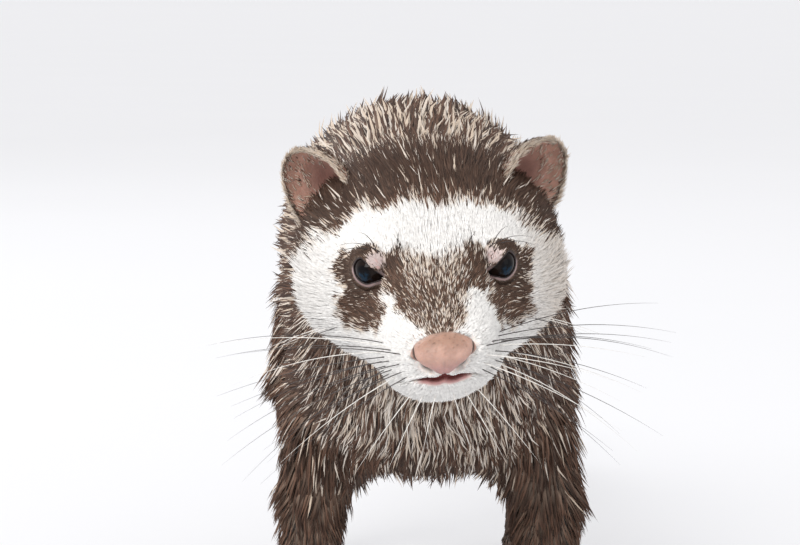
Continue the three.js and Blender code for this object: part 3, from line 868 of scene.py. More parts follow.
def head_darkness(local):
    across = np.abs(local[:, 0])
    height = math.sin(FACE_SLOPE) * local[:, 1] + math.cos(FACE_SLOPE) * local[:, 2] + FACE_RISE
    height = height + 0.55 * waves(local, 5, 11)
    shifted = across + 0.5 * waves(local, 4, 12)
    dark = np.zeros(len(local))
    for patch in PATCHES:
        size = np.hypot((shifted - patch["x"]) / patch["wide"], (height - patch["h"]) / patch["high"])
        dark = np.maximum(dark, smooth_step(1.16, 0.84, size) * PATCH_DARK)
    wide = np.interp(height, *BRIDGE)
    low_left = smooth_step(-4.5, -6.0, height) * (local[:, 0] > 0)
    wide = np.where(low_left > 0, np.minimum(wide, WHITE_STREAK + (1 - low_left) * 5), wide)
    edge = smooth_step(3.5, 7.2, across)
    bridge = BRIDGE_DARK["middle"] + BRIDGE_DARK["edge"] * edge
    bridge *= smooth_step(3.2 + 1.4 * edge, -4.5 + 5 * edge, height)
    bridge *= (1 - 0.2 * smooth_step(-8.5, -13, height)) * smooth_step(*BRIDGE_DARK["ends"], height)
    dark = np.maximum(dark, bridge * smooth_step(wide + 0.9, wide - 0.9, shifted))
    dark *= smooth_step(*FACE_ENDS, local[:, 1])
    start = CROWN["middle"] + CROWN["side"] * (across / CROWN["half"]) ** 2
    start += CROWN["cheek"] * np.maximum(-2 - local[:, 2], 0) + 1.6 * waves(local, 6, 13)
    return np.maximum(dark, CROWN["dark"] * smooth_step(start - 1.5, start + 4, local[:, 1]))


# Marks say how much of a thing lies at each vertex of the skin, from 0 to 1. Two are lengths instead:
# "pad" is how far the pad's form stands over the skin, and "lid" how far off the eye's opening is.
SOLE = 4.0  # the pads of the feet lie below this
FAR_FROM_LID = 9.0
PAD_FADES = {"pad_low": (-7.5, -10.5), "pad_top": (-7.4, -4.6)}  # heights between which its colour changes
WETNESS = {"pad": 0.75, "lips": 0.5}


def add_eye_marks(marks, points):
    marks["lid"] = np.full(len(points), FAR_FROM_LID)
    marks["low"] = np.zeros(len(points))
    marks["brow"] = np.zeros(len(points))
    slope = math.atan(BROW["slope"])
    for sign in SIDES.values():
        places = in_eye_frame(points, sign)
        near = near_eye(places, LID_REACH)
        across, up = places[near, 0], places[near, 1]
        marks["lid"][near] = lid_edge_distance(places[near])
        marks["low"][near] = smooth_step(0.9, -0.1, up)
        aside, above = across - BROW["at"][0], up - BROW["at"][1]
        along = (aside * math.cos(slope) + above * math.sin(slope)) / BROW["long"]
        over = (above * math.cos(slope) - aside * math.sin(slope)) / BROW["high"]
        marks["brow"][near] = smooth_step(1.3, 0.5, np.hypot(along, over))


def add_lip_marks(marks, local):
    across, front = np.abs(local[:, 0]), local[:, 1] < -20
    under_lip, gap = under_lip_line(local)
    lips = smooth_step(gap - 0.2, gap + 0.1, under_lip) * smooth_step(gap + 1.2, gap + 0.4, under_lip)
    marks["lips"] = lips * smooth_step(5.6, 3.6, across) * front
    marks["upper_lip"] = bump_at(under_lip, -0.3, 0.6) * smooth_step(6.5, 4.5, across) * front
    # Hair grows over the pad's upper edge.
    marks["pad"] -= 2 * smooth_step(-24.4, -23.2, local[:, 1]) * smooth_step(-5.8, -5.2, local[:, 2])


def bareness(marks):
    """How bare of hair each vertex is, from 0 to 1."""
    lower, upper = smooth_step(0.65, 0.45, marks["lid"]), smooth_step(0.3, 0.15, marks["lid"])
    return np.maximum.reduce([
        smooth_step(-0.22, 0.05, marks["pad"]), smooth_step(0.05, 0.3, marks["holes"]),
        smooth_step(0.02, 0.2, marks["mouth"]), marks["lips"], marks["sole"],
        np.where(marks["low"] > 0.5, lower, upper),
    ])


def skin_tones(local, marks, dark):
    """Colour and wetness of the skin at each vertex."""
    on_pad = smooth_step(-0.1, 0.15, marks["pad"])
    pad = np.tile(TONES["pad"], (len(local), 1))
    for name, heights in PAD_FADES.items():
        pad = towards(pad, name, smooth_step(*heights, local[:, 2]))
    spots = smooth_step(0.7, 1.3, waves(local, 0.9, 31)) * smooth_step(-7.6, -5.5, local[:, 2])
    pad = towards(pad, "brown", 0.6 * spots)
    tone = towards(np.tile(TONES["pale_skin"], (len(local), 1)), "dark_skin", 0.9 * dark)
    tone += (pad - tone) * on_pad[:, None]
    tone = towards(tone, "lip", marks["lips"])
    tone = towards(tone, "mouth", smooth_step(0.15, 0.6, marks["mouth"]))
    # Painted shade: the nostrils are darkened where they sink into the pad.
    tone *= 1 - 0.85 * smooth_step(0.12, 0.8, marks["holes"])[:, None]
    above_pad = smooth_step(-20.5, -22.5, local[:, 1]) * smooth_step(-6.2, -4.8, local[:, 2])
    lid = smooth_step(0.24, 0.08, marks["lid"])
    for name, share in (
        ("pink", 0.8 * marks["brow"]),
        ("pad_top", 0.8 * above_pad * (1 - on_pad)),
        ("dark_skin", smooth_step(2.4, 1.5, marks["lid"]) * (1 - marks["brow"])),
        ("lid_rim", smooth_step(0.85, 0.55, marks["lid"]) * marks["low"]),
        ("lid", lid),
        ("sole", marks["sole"]),
    ):
        tone = towards(tone, name, share)
    wet = [on_pad * WETNESS["pad"], marks["lips"] * WETNESS["lips"], marks["mouth"], lid]
    return tone, np.maximum.reduce(wet)


# The coat at each vertex of the skin.
HEAD_COAT = {  # by the distance behind the eyes
    "at": [-26, -20, -12, -5, 2, 10, 18, 28, 42],
    "length": [1.1, 1.6, 2.2, 2.9, 4.6, 6.4, 8.6, 10.5, 12.0],
    "width": [0.20, 0.21, 0.22, 0.24, 0.27, 0.31, 0.35, 0.40, 0.46],
    "dense": [24, 20, 16, 13.5, 11.5, 9.5, 7.6, 5.8, 4.2],
}
NEAR_EYE = {"length": 0.9, "grows": 0.42, "from": 3.6}  # hair shortens towards the lids
MUZZLE_TIP = np.array([0, -26.0, -8.5])  # hair of the head leads away from it
MOST_LIFT = {"body": 0.46, "tail": 0.60, "tail_end": 0.96}  # sine of the steepest root
LEAST_LIFT = 0.16
SHORTER = {"tail_end": 0.35, "upper_lip": 0.55}
CHIN_LONGER = 0.5
SLOW_ROUNDS = {"sizes": 60, "dark": 90}  # along the trunk, how slowly its coat changes
EYE_FLOW = {"at": 4, "half": 3.5, "share": 0.9}  # round each eye, hair leads away from it
LEG_FLOWS = {
    ("upper_arm", "forearm"): [0, 0.25, -1], ("thigh", "shank"): [0, 0.35, -1],
    ("forepaw", "hindpaw"): [0, -1, -0.6],
}


def lie_of_coat(points, kinds, normals, near):
    """The way the hair leads at each vertex, along the skin."""
    local = to_head(points)
    flow = spine_direction(points)
    flow[:, 2] -= 0.28 * np.abs(normals[:, 0])
    face = is_kind(kinds, *FACE)
    beside = np.ones((len(local), 3))
    beside[:, 0] = np.sign(local[:, 0])
    from_eye = local - EYE_IN_HEAD * beside
    round_eye = bump_at(np.linalg.norm(from_eye, axis=1), EYE_FLOW["at"], EYE_FLOW["half"])
    away = unit(unit(local - MUZZLE_TIP) + EYE_FLOW["share"] * round_eye[:, None] * unit(from_eye))
    flow[face] = turn_from_head(away[face])
    for names, direction in LEG_FLOWS.items():
        flow[is_kind(kinds, *names)] = direction
    flow = unit(near.soften(unit(flow), 6))
    flow -= 0.9 * normals * (flow * normals).sum(axis=1, keepdims=True)
    return unit(flow)


def coat_sizes(fields, points, kinds, normals, near, trunk, marks):
    """Length, width, density and lift of the locks; along the trunk they change slowly."""
    local = to_head(points)
    face = is_kind(kinds, *FACE)
    for key in ("length", "width", "dense"):
        values = by_kind(key, kinds)
        values[face] = np.interp(local[face, 1], HEAD_COAT["at"], HEAD_COAT[key])
        values = near.soften(values, 8)
        fields[key] = values + (near.soften(values, SLOW_ROUNDS["sizes"]) - values) * trunk
    limit = NEAR_EYE["length"] + NEAR_EYE["grows"] * np.maximum(eye_distance(local) - NEAR_EYE["from"], 0)
    shorter = np.where(face, np.minimum(limit / fields["length"], 1), 1)
    fields["dense"] *= shorter**-0.6
    under_chin = smooth_step(-12, -18, local[:, 2]) * smooth_step(-4, -12, local[:, 1]) * face
    fields["length"] *= shorter * (1 + CHIN_LONGER * under_chin)
    depth = by_kind("depth", kinds)
    depth[face] = head_depth(local[face])
    tail = near.soften(is_kind(kinds, *TAIL).astype(float), 8)
    most = MOST_LIFT["body"] + (MOST_LIFT["tail"] - MOST_LIFT["body"]) * tail
    fields["lift"] = np.clip(near.soften(depth, 8) / (0.7 * fields["length"]), LEAST_LIFT, most)
    end = smooth_step(0.3, 0.85, (normals * spine_direction(points)).sum(axis=1))
    end *= is_kind(kinds, "tail_end")
    fields["lift"] += (MOST_LIFT["tail_end"] - fields["lift"]) * end
    fields["length"] *= (1 - SHORTER["tail_end"] * end) * (1 - SHORTER["upper_lip"] * marks["upper_lip"])
    fields["dense"] *= (1 - bareness(marks)) * (1 - 0.4 * marks["brow"])


def coat_colours(fields, points, kinds, normals, near, trunk, marks):
    """Shares of dark locks, and how cream and rosy the locks are; and how much darker the brown locks are,
    which near the eyes is their own colour and on the crown painted shade.
    """
    local = to_head(points)
    face = is_kind(kinds, *FACE)
    behind = smooth_step(22, 44, local[:, 1])
    body = near.soften(by_kind("dark", kinds), 14)
    body += (near.soften(body, SLOW_ROUNDS["dark"]) - body) * trunk
    body *= 1 - 0.35 * smooth_step(-0.35, -0.85, normals[:, 2]) * smooth_step(60, 75, to_body(points)[:, 2])
    dark = np.where(face, head_darkness(local), 0) * (1 - behind) + body * behind
    dark *= 1 - smooth_step(-20, -30, local[:, 2]) * smooth_step(30, 8, local[:, 1]) * (~face)
    dark = np.maximum(dark, smooth_step(2.6, 1.6, marks["lid"])) * (1 - 0.92 * marks["brow"])
    fields["dark"] = dark
    fields["rosy"] = 0.75 * marks["brow"]
    # The brown locks are darker near the eyes, their own colour, and on the crown as painted shade.
    crown = smooth_step(9, 14, local[:, 1]) * (1 - behind)
    fields["soot_and_shade"] = np.maximum(smooth_step(9, 5.5, eye_distance(local)), 0.9 * crown) * face
    cream = by_kind("cream", kinds)
    cream[face] = 0.03 + 0.6 * smooth_step(10, 34, local[face, 1])
    tan = 0.85 * smooth_step(0.05, 0.45, dark)
    # The cheeks take some cream as their own colour; the animal's left cheek takes more, which paints the
    # warm shade falling on that side.
    cheek = smooth_step(13, 22, np.abs(local[:, 0])) * np.where(local[:, 0] > 0, 0.55, 0.12)
    fields["cream"] = np.maximum(near.soften(cream, 10), np.maximum(tan, cheek) * face)


def coat_fields(points, kinds, normals, near, marks):
    trunk = near.soften(is_kind(kinds, *TRUNK).astype(float), 8)
    fields = {"flow": lie_of_coat(points, kinds, normals, near)}
    coat_sizes(fields, points, kinds, normals, near, trunk, marks)
    coat_colours(fields, points, kinds, normals, near, trunk, marks)
    return fields


# Locks of hair: thin three-sided spindles, in tufts that share a lead.
BEND = 0.3  # how far a lock bows back to the skin
WAVE = 0.025  # how far it swings aside, of its length
SUNK = (0.35, 0.09)  # its root lies this deep under the skin, in millimetres and of its length
SOFTNESS = 0.5  # how much the skin's own direction shades it
TUFT = 0.75  # how far a lock's tip is drawn to its leader's
LONGER = {"share": 0.08, "times": 1.22}  # a few guard hairs
LONG_LOCK = {"shares": [0.30, 0.68], "profile": [1.0, 0.72], "every": 9}
SHORT_LOCK = {"shares": [0.45], "profile": [1.0], "every": 7}
EAR_LOCK = {"shares": [0.45], "profile": [1.0], "every": 2}


def plant(points, triangles, normals, fields):
    """Roots spread evenly by the density, the skin's direction and fields there, and the main vertex."""
    a, b, c = (points[triangles[:, corner]] / MM for corner in range(3))
    area = 0.5 * np.linalg.norm(np.cross(b - a, c - a), axis=1)
    total = np.cumsum(area * fields["dense"][triangles].mean(axis=1))
    count = int(total[-1])
    reach = (np.arange(count) + random.random(count)) / count * total[-1]
    picked = triangles[np.searchsorted(total, reach)]
    a, b = random.random(count), random.random(count)
    over = a + b > 1
    a[over], b[over] = 1 - a[over], 1 - b[over]
    shares = np.stack([1 - a - b, a, b], axis=1)

    def at_roots(values):
        weights = shares if values.ndim == 1 else shares[:, :, None]
        return (values[picked] * weights).sum(axis=1)

    at = {key: at_roots(values) for key, values in fields.items()}
    return at_roots(points), unit(at_roots(normals)), at, picked[np.arange(count), shares.argmax(axis=1)]


def gathered(roots, tips, every):
    """Where each lock's tip would be if it followed the nearest of a few leading locks."""
    leaders = random.permutation(len(roots))[: max(len(roots) // every, 1)]
    tree = kdtree.KDTree(len(leaders))
    for index, place in enumerate(roots[leaders].tolist()):
        tree.insert(place, index)
    tree.balance()
    chosen = leaders[np.array([tree.find(place)[1] for place in roots.tolist()])]
    return roots + tips[chosen] - roots[chosen] + TUFT * (roots[chosen] - roots)


def grow(roots, normals, fields):
    """Each lock's length in metres, the sine and cosine of its lift, and the way it leads."""
    count = len(roots)
    length = fields["length"] * (0.78 + 0.36 * random.random(count))
    length *= np.where(random.random(count) < LONGER["share"], LONGER["times"], 1.0)
    lift = np.clip(fields["lift"] * (0.7 + 0.6 * random.random(count)), 0.06, 0.97)
    swing = (0.16 * waves(roots / MM, 16, 21) + 0.12 * random.normal(size=count))[:, None]
    flow = unit(fields["flow"])
    flow = flow * np.cos(swing) + np.cross(normals, flow) * np.sin(swing)
    return length * MM, lift, np.sqrt(1 - lift**2), flow


def lock_points(roots, normals, fields, lock):
    """Each lock's root, rings of three and tip, and the way each of these points faces."""
    length, lift, level, flow = grow(roots, normals, fields)
    side = unit(np.cross(flow, normals))
    phase = random.uniform(0, 6.3, len(roots))

    def line(share):
        along = flow * (level * share)[:, None]
        up = normals * (lift * share * (1 - BEND * share))[:, None]
        wave = side * (WAVE * (np.sin(phase + 3.5 * share) - np.sin(phase)))[:, None]
        return (along + up + wave) * length[:, None]

    tips = roots + line(1.0)
    pull = gathered(roots, tips, lock["every"]) - tips
    pull *= (0.35 + 0.35 * random.random(len(roots)))[:, None]
    base = roots - normals * np.minimum(SUNK[0] * MM, SUNK[1] * length)[:, None]
    rings, outs = [], []
    for share, wide in zip(lock["shares"], lock["profile"]):
        centre = base + line(share) + pull * share**2
        ahead = unit(line(share + 0.05) - line(share - 0.05) + pull * 0.2 * share)
        out = unit(np.cross(side, ahead))
        half = (fields["width"] * wide * MM / 2)[:, None]
        ring = [centre - side * half, centre + out * half * 0.8, centre + side * half]
        rings.append(np.stack(ring, axis=1))
        outs.append(np.stack([unit(out - side * 0.45), out, unit(out + side * 0.45)], axis=1))
    points = np.concatenate([base[:, None], *rings, (base + line(1.0) + pull)[:, None]], axis=1)
    outward = np.concatenate([outs[0][:, 1:2], *outs, outs[-1][:, 1:2]], axis=1)
    return points, unit(outward + SOFTNESS * normals[:, None])


def lock_tones(fields, shares):
    """A colour for the root, each ring and the tip: dark hair is paler at its root, pale hair is even."""
    count = len(fields["dark"])
    is_dark = (random.random(count) < fields["dark"])[:, None]
    cream = np.clip(fields["cream"] * random.uniform(0.6, 1.25, count), 0, 1)[:, None]
    pale = TONES["white"] + (TONES["cream"] - TONES["white"]) * cream
    pale = towards(pale, "rosy", fields["rosy"]) * (1 - 0.10 * random.random(count))[:, None]
    # Brown locks are darkened near the eyes as their own colour, and on the crown as painted shade.
    brown = random.random(count)[:, None] ** 1.4 * 0.9 * (1 - 0.6 * fields["soot_and_shade"][:, None])
    deep = TONES["dark"] + (TONES["brown"] - TONES["dark"]) * brown
    root = deep * 1.25 + (TONES["cream"] - deep) * 0.4 * cream
    mixed = [root + (deep - root) * smooth_step(0.1, 0.55, share) for share in [0, *shares, 1]]
    return np.stack([np.where(is_dark, tone, pale) for tone in mixed], axis=1)


# Unwraps: how far along its part of the body a root lies, and its angle round that part.
def unwrap_head(roots):
    local = to_head(roots)
    return np.linalg.norm(local - MUZZLE_TIP, axis=1), np.arctan2(local[:, 0], local[:, 2] + 9)


def unwrap_trunk(roots):
    x, z = spine_at(roots[:, 1])
    return roots[:, 1], np.arctan2(roots[:, 0] - x, roots[:, 2] - z)


def unwrap_leg(roots):
    heights = np.linspace(roots[:, 2].min(), roots[:, 2].max(), 9)
    step = heights[1] - heights[0]
    near = [roots[np.abs(roots[:, 2] - height) <= step] for height in heights]
    x, y = (np.interp(roots[:, 2], heights, [part[:, axis].mean() for part in near]) for axis in (0, 1))
    return roots[:, 2], np.arctan2(roots[:, 0] - x, roots[:, 1] - y)


PATCH = 0.003  # of the map, for one lock
MOST_TRIANGLES = 190_000  # of one piece
LOWEST = 0.0002  # metres; no hair goes into the floor


def coat_piece(name, part, roots, normals, fields):
    lock = part["lock"]
    rings = len(lock["shares"])
    points, outward = lock_points(roots, normals, fields, lock)
    points[:, :, 2] = np.maximum(points[:, :, 2], LOWEST)
    faces = repeated(tube_faces(rings, 3), len(roots), points.shape[1])
    piece = new_mesh(name, points.reshape(-1, 3), faces)
    times = [1] + [3] * rings + [1]
    column = np.array([0.5] + [0, 0.5, 1] * rings + [0.5])
    row = np.repeat(np.arange(rings + 2), times) / (rings + 1)
    along, angle = part["unwrap"](roots)
    u = (angle / (2 * math.pi) + 0.5) * (1 - PATCH)
    v = (along - along.min()) / (along.max() - along.min()) * (1 - PATCH)
    uv = np.stack([u[:, None] + column * PATCH, v[:, None] + row * PATCH], axis=2).reshape(-1, 2)
    layer = piece.data.uv_layers.new(name="OFBake")
    layer.data.foreach_set("uv", uv[faces.ravel()].astype(np.float32).ravel())
    paint(piece, np.repeat(lock_tones(fields, lock["shares"]), times, axis=1).reshape(-1, 3))
    if not part.get("own_shading"):
        piece.data.normals_split_custom_set_from_vertices(outward.reshape(-1, 3).astype(np.float32))
    finish_piece(piece, "coat", part["slot"])


def coat_parts():
    parts = {"head": {"kinds": FACE, "unwrap": unwrap_head, "lock": SHORT_LOCK, "slot": "coat_white"}}
    for name in TRUNK:
        parts[name] = {"kinds": [name], "unwrap": unwrap_trunk, "lock": LONG_LOCK, "slot": "coat_sable"}
    parts["tail"] = {"kinds": TAIL, "unwrap": unwrap_trunk, "lock": LONG_LOCK, "slot": "coat_dark"}
    limbs = {"foreleg": ("upper_arm", "forearm", "forepaw"), "hindleg": ("thigh", "shank", "hindpaw")}
    for limb, kinds in limbs.items():
        for side, sign in SIDES.items():
            parts[f"{limb}_{side}"] = {
                "kinds": kinds, "sign": sign, "unwrap": unwrap_leg, "lock": LONG_LOCK, "slot": "coat_dark",
            }
    return parts


def add_coat(points, triangles, kinds, normals, fields):
    roots, root_normals, at, main = plant(points, triangles, normals, fields)
    for name, part in coat_parts().items():
        chosen = is_kind(kinds[main], *part["kinds"])
        if "sign" in part:
            chosen &= np.sign(roots[:, 0]) == part["sign"]
        chosen = np.flatnonzero(chosen)
        chosen = chosen[part["unwrap"](roots[chosen])[0].argsort(kind="stable")]
        cost = len(tube_faces(len(part["lock"]["shares"]), 3))
        pieces = math.ceil(len(chosen) * cost / MOST_TRIANGLES)
        for number, some in enumerate(np.array_split(chosen, pieces)):
            some_fields = {key: values[some] for key, values in at.items()}
            coat_piece(f"coat_{name}_{number + 1}", part, roots[some], root_normals[some], some_fields)


# The eyeballs, with the clear front standing out a little over the iris, and a bluish painted reflection
# low on the pupil.
CORNEA = {"reach": 2.7, "flat": 0.6, "height": 0.3}
# The last entry is the middle of the painted reflection on the pupil, across and up.
IRIS = {"pupil": 1.3, "reach": 2.75, "painted_reflection": (-0.2, -0.7)}


def add_eye(side, sign):
    columns, rings = 56, 35
    polar = np.arange(1, rings + 1) * math.pi / (rings + 1)
    angle = np.arange(columns) * 2 * math.pi / columns
    flat = np.sin(polar)[:, None]
    height = np.cos(polar)[:, None] + 0 * angle
    ring = np.stack([flat * np.cos(angle), flat * np.sin(angle), height], axis=2)
    points = np.concatenate([[[0, 0, 1.0]], ring.reshape(-1, 3), [[0, 0, -1.0]]]) * EYE_RADIUS
    across = np.linalg.norm(points[:, :2], axis=1)
    front = points[:, 2] > 0
    points[:, 2] += CORNEA["height"] * front * smooth_step(CORNEA["reach"], CORNEA["flat"], across)
    faces = tube_faces(rings, columns)[:, ::-sign]
    piece = new_mesh(f"eyeball_{side}", from_eye_frame(points, sign), faces)
    tone = np.tile(TONES["sclera"], (len(points), 1))
    tone[front & (across < IRIS["reach"])] = TONES["iris"]
    tone[front & (across < IRIS["pupil"])] = TONES["pupil"]
    # A painted reflection: a bluish patch low on the pupil stands in for light mirrored by the wet eye.
    painted_reflection = np.linalg.norm(points[:, :2] - IRIS["painted_reflection"], axis=1) + 0.35 * waves(points, 0.8, 41)
    paint(piece, towards(tone, "painted_reflection", front * smooth_step(1.0, 0.3, painted_reflection)))
    finish_piece(piece, "eye", "eye", f"eye_{side}")


# The ears: thin cups that open forwards and aside, with a rolled rim and folds inside.
EAR = {"wide": 7.4, "high": 8.6, "deep": 4.6, "thick": 1.2, "turn": 34, "splay": 27, "lean": 8}
EAR_IN_HEAD = np.array([20.2, 30.0, 5.0])
EAR_COLUMNS = 72
EAR_SHARES = np.sin(np.linspace(0.06, 1, 22) * math.pi / 2)  # of the way from the middle to the rim
EAR_HAIR = {"length": 2.0, "at_rim": 2.9, "width": 0.22, "inside": 3.2, "back": 6.5, "rim": 11.5}


def turn_about(axis, degrees):
    """A turn about one axis, as a matrix."""
    return np.array(Matrix.Rotation(math.radians(degrees), 3, axis))


def ear_axes(sign):
    splay, turn = turn_about("Y", sign * EAR["splay"]), turn_about("Z", sign * EAR["turn"])
    return (splay @ turn_about("X", -EAR["lean"]) @ turn).T


def ear_surface(share, angle, front):
    """A point of the cup: its share of the way from the middle to the rim, and the angle from its right."""
    x = EAR["wide"] * (1 - 0.10 * np.sin(angle) * share) * share * np.cos(angle)
    y = EAR["deep"] * np.sqrt(np.maximum(1 - share**2.4, 0)) - 0.75 * smooth_step(0.78, 1.0, share)
    y = y + 0.18 * np.sin(5 * angle + 1) * smooth_step(0.5, 1, share)
    if front:
        y = y - EAR["thick"] * np.sqrt(np.maximum(1 - share**8, 0))
        fold = bump_at(share, 0.62 + 0.06 * np.sin(2 * angle), 0.09)
        y = y - 0.75 * fold * smooth_step(-0.9, 0.1, np.cos(angle + 0.6))
        y = y - 0.6 * bump_at(share, 0.33, 0.1) * smooth_step(0.2, 0.9, np.cos(angle + 1.2))
    return np.stack([x, y, EAR["high"] * share * np.sin(angle)], axis=-1)


def unwrap_ear(roots):
    sign = np.sign(roots[0, 0] - HEAD_ORIGIN[0])
    across, _, up = ((to_head(roots) - EAR_IN_HEAD * [sign, 1, 1]) @ ear_axes(sign).T).T
    return np.hypot(across, up), np.arctan2(across, up)


EAR_PART = {"lock": EAR_LOCK, "unwrap": unwrap_ear, "slot": "ear", "own_shading": True}


def add_ear_coat(side, sign, points, triangles, share, inside):
    """Short brown hair on the ear's back, pale at its rim, and a few pale hairs within."""
    normals = vertex_normals(points, triangles)
    flow = unit(points - from_head(EAR_IN_HEAD * [sign, 1, 1])) + 0.5 * HEAD_AXES[2]
    flow -= normals * (flow * normals).sum(axis=1, keepdims=True)
    rim = smooth_step(0.8, 1.0, share)
    within = EAR_HAIR["inside"] * smooth_step(0.25, 0.8, share)
    behind = EAR_HAIR["back"] + (EAR_HAIR["rim"] - EAR_HAIR["back"]) * rim
    even = np.ones(len(points))
    fields = {
        "length": EAR_HAIR["length"] + (EAR_HAIR["at_rim"] - EAR_HAIR["length"]) * rim,
        "width": EAR_HAIR["width"] * even, "dense": np.where(inside, within, behind), "flow": unit(flow),
        "lift": np.where(inside, 0.36, 0.26), "dark": np.where(inside, 0.05, 0.85 * (1 - rim)),
        "cream": 0.95 * even, "rosy": 0 * even, "soot_and_shade": 0 * even,
    }
    roots, root_normals, at, _ = plant(points, triangles, normals, fields)
    coat_piece(f"coat_ear_{side}", EAR_PART, roots, root_normals, at)


def add_ear(side, sign):
    angle = (np.arange(EAR_COLUMNS) * 2 * math.pi / EAR_COLUMNS)[None]
    back = ear_surface(EAR_SHARES[:, None], angle, False)
    rings = np.concatenate([back, ear_surface(EAR_SHARES[-2::-1, None], angle, True)])
    centre = np.zeros((1, 1))
    start, end = (ear_surface(centre, centre, front)[0] for front in (False, True))
    places = np.concatenate([start, rings.reshape(-1, 3), end]) * [sign, 1, 1]
    points = from_head(places @ ear_axes(sign) + EAR_IN_HEAD * [sign, 1, 1])
    faces = tube_faces(len(rings), EAR_COLUMNS)[:, ::sign]
    piece = new_mesh(f"ear_cup_{side}", points, faces)
    in_front = np.repeat(np.arange(len(rings)) >= len(EAR_SHARES), EAR_COLUMNS)
    inside = np.concatenate([[0], in_front, [1]]) > 0
    share = np.repeat(np.concatenate([EAR_SHARES, EAR_SHARES[-2::-1]]), EAR_COLUMNS)
    share = np.concatenate([[0], share, [0]])
    rims = np.tile(TONES["ear_rim"], (len(points), 1))
    # Painted shade: the inside of each cup darkens towards its middle, where its hollow would be shaded.
    paint(piece, towards(rims, "ear_painted_shade", (1 - smooth_step(0.2, 0.9, share)) * inside))
    moisten(piece, np.zeros(len(points)))
    finish_piece(piece, "skin", "ear", f"ear_{side}")
    add_ear_coat(side, sign, points, faces, share, inside)


# The claws, curved down from the ends of the toes.
CLAW_RADII = np.array([0.85, 0.9, 0.84, 0.72, 0.55, 0.33, 0.1])
CLAW_SHARES = np.linspace(0, 1, len(CLAW_RADII))
CLAW_COLUMNS = 10
CLAW_TALL = 1.25  # its height to its width
CLAW_SUNK = 2.0  # how far back its path starts in the toe
CLAW_ADDED = 1.6  # to its visible length


def add_claws():
    height = 3.9 + 0.5 * np.sin(CLAW_SHARES * math.pi) - 3.1 * CLAW_SHARES**2
    rise = [0, 0, 1] * height[:, None]
    paths = []
    for paw, shape in PAWS.items():
        for side in SIDES:
            palm, each = toes(paw, side)
            for ahead, length in each:
                reach = length - CLAW_SUNK + (shape["claw"] + CLAW_ADDED) * CLAW_SHARES
                paths.append(palm + ahead * reach[:, None] + rise)
    points, faces = tubes(from_body(np.array(paths)), CLAW_RADII * MM, CLAW_COLUMNS, tall=CLAW_TALL)
    piece = new_mesh("claws", points, faces)
    share = np.concatenate([[0], np.repeat(CLAW_SHARES, CLAW_COLUMNS), [1]])
    roots = np.tile(TONES["claw_root"], (len(points), 1))
    paint(piece, towards(roots, "claw_tip", np.tile(share, len(paths))))
    finish_piece(piece, "horn", "coat_dark")


# Whiskers, in the head's frame: rows on each muzzle pad, above each eye and on each cheek.
WHISKER_RADIUS = 0.10
WHISKER_RINGS = 14
WHISKER_COLUMNS = 5
WHISKER_ROOT = -0.03  # of its length, under the skin


def whisker(root, direction, length, droop):
    share = np.linspace(WHISKER_ROOT, 1, WHISKER_RINGS)[:, None]
    bend = np.array([0, 0.25, -1.0]) * droop
    return np.asarray(root) + length * (unit(np.asarray(direction, float)) * share + bend * share**2)


def muzzle_whiskers(sign):
    """Four rows of four, each as its path and whether it is pale."""
    for row in range(4):
        for place in range(4):
            across = 6.6 + 0.85 * place + 0.25 * row
            root = [sign * across, -22.6 + 1.9 * place - 0.2 * row, -8.3 - 1.45 * row]
            up = 0.10 - 0.24 * row + 0.05 * random.normal()
            length = 31 + 2.6 * place - 2.0 * row + 3 * random.normal()
            droop = 0.16 + 0.12 * random.random()
            pale = random.random() < (0.10 if sign < 0 else 0.3) + 0.13 * row
            yield whisker(root, [sign, 0.05 + 0.17 * place, up], length, droop), pale


def other_whiskers(sign):
    """Those over the eye, at its inner corner, before it, on the cheek and on the chin."""
    for place, (up, aside) in enumerate([(0.75, 0.75), (1.0, 0.35), (0.55, 0.95)]):
        root = [sign * (9.6 + 0.7 * place), -0.6 + 0.7 * place, 2.6]
        yield whisker(root, [sign * aside, -0.45, up], 12.5 - 1.5 * place, 0.42), False
    for place in range(3):
        root = [sign * (5.2 + 0.9 * place), -0.8, 1.6 + 0.5 * place]
        yield whisker(root, [sign * (0.3 - 0.2 * place), -0.5, 1.0], 8.5, 0.2), False
    yield whisker([sign * 9.4, -8.6, -3.4], [-sign * 0.5, -0.5, -0.7], 5.5, 0.1), False
    for place in range(3):
        root = [sign * (16.5 + place), 2.0 + 3 * place, -12.0 - place]
        yield whisker(root, [sign, 0.7, -0.5], 15 + 2 * place, 0.1), place > 0
    for place in range(3):
        root = [sign * (1.5 + 2 * place), -23 + place, -16.2]
        yield whisker(root, [sign * (0.3 + 0.3 * place), -0.3, -1.0], 11 + 3 * place, 0.1), True


def add_whiskers():
    hairs = [hair for sign in SIDES.values() for hair in (*muzzle_whiskers(sign), *other_whiskers(sign))]
    paths = np.array([path for path, _ in hairs])
    pale = np.array([is_pale for _, is_pale in hairs])
    paths += (leaned(paths) - paths)[:, :1]
    taper = (1 - np.linspace(0, 1, WHISKER_RINGS) ** 1.3) * 0.92 + 0.08
    points, faces = tubes(from_head(paths), taper * WHISKER_RADIUS * MM, WHISKER_COLUMNS)
    piece = new_mesh("whiskers", points, faces)
    tone = np.where(pale[:, None], TONES["whisker_pale"], TONES["whisker_dark"])
    paint(piece, np.repeat(tone, len(points) // len(paths), axis=0))
    finish_piece(piece, "horn", "coat_white")


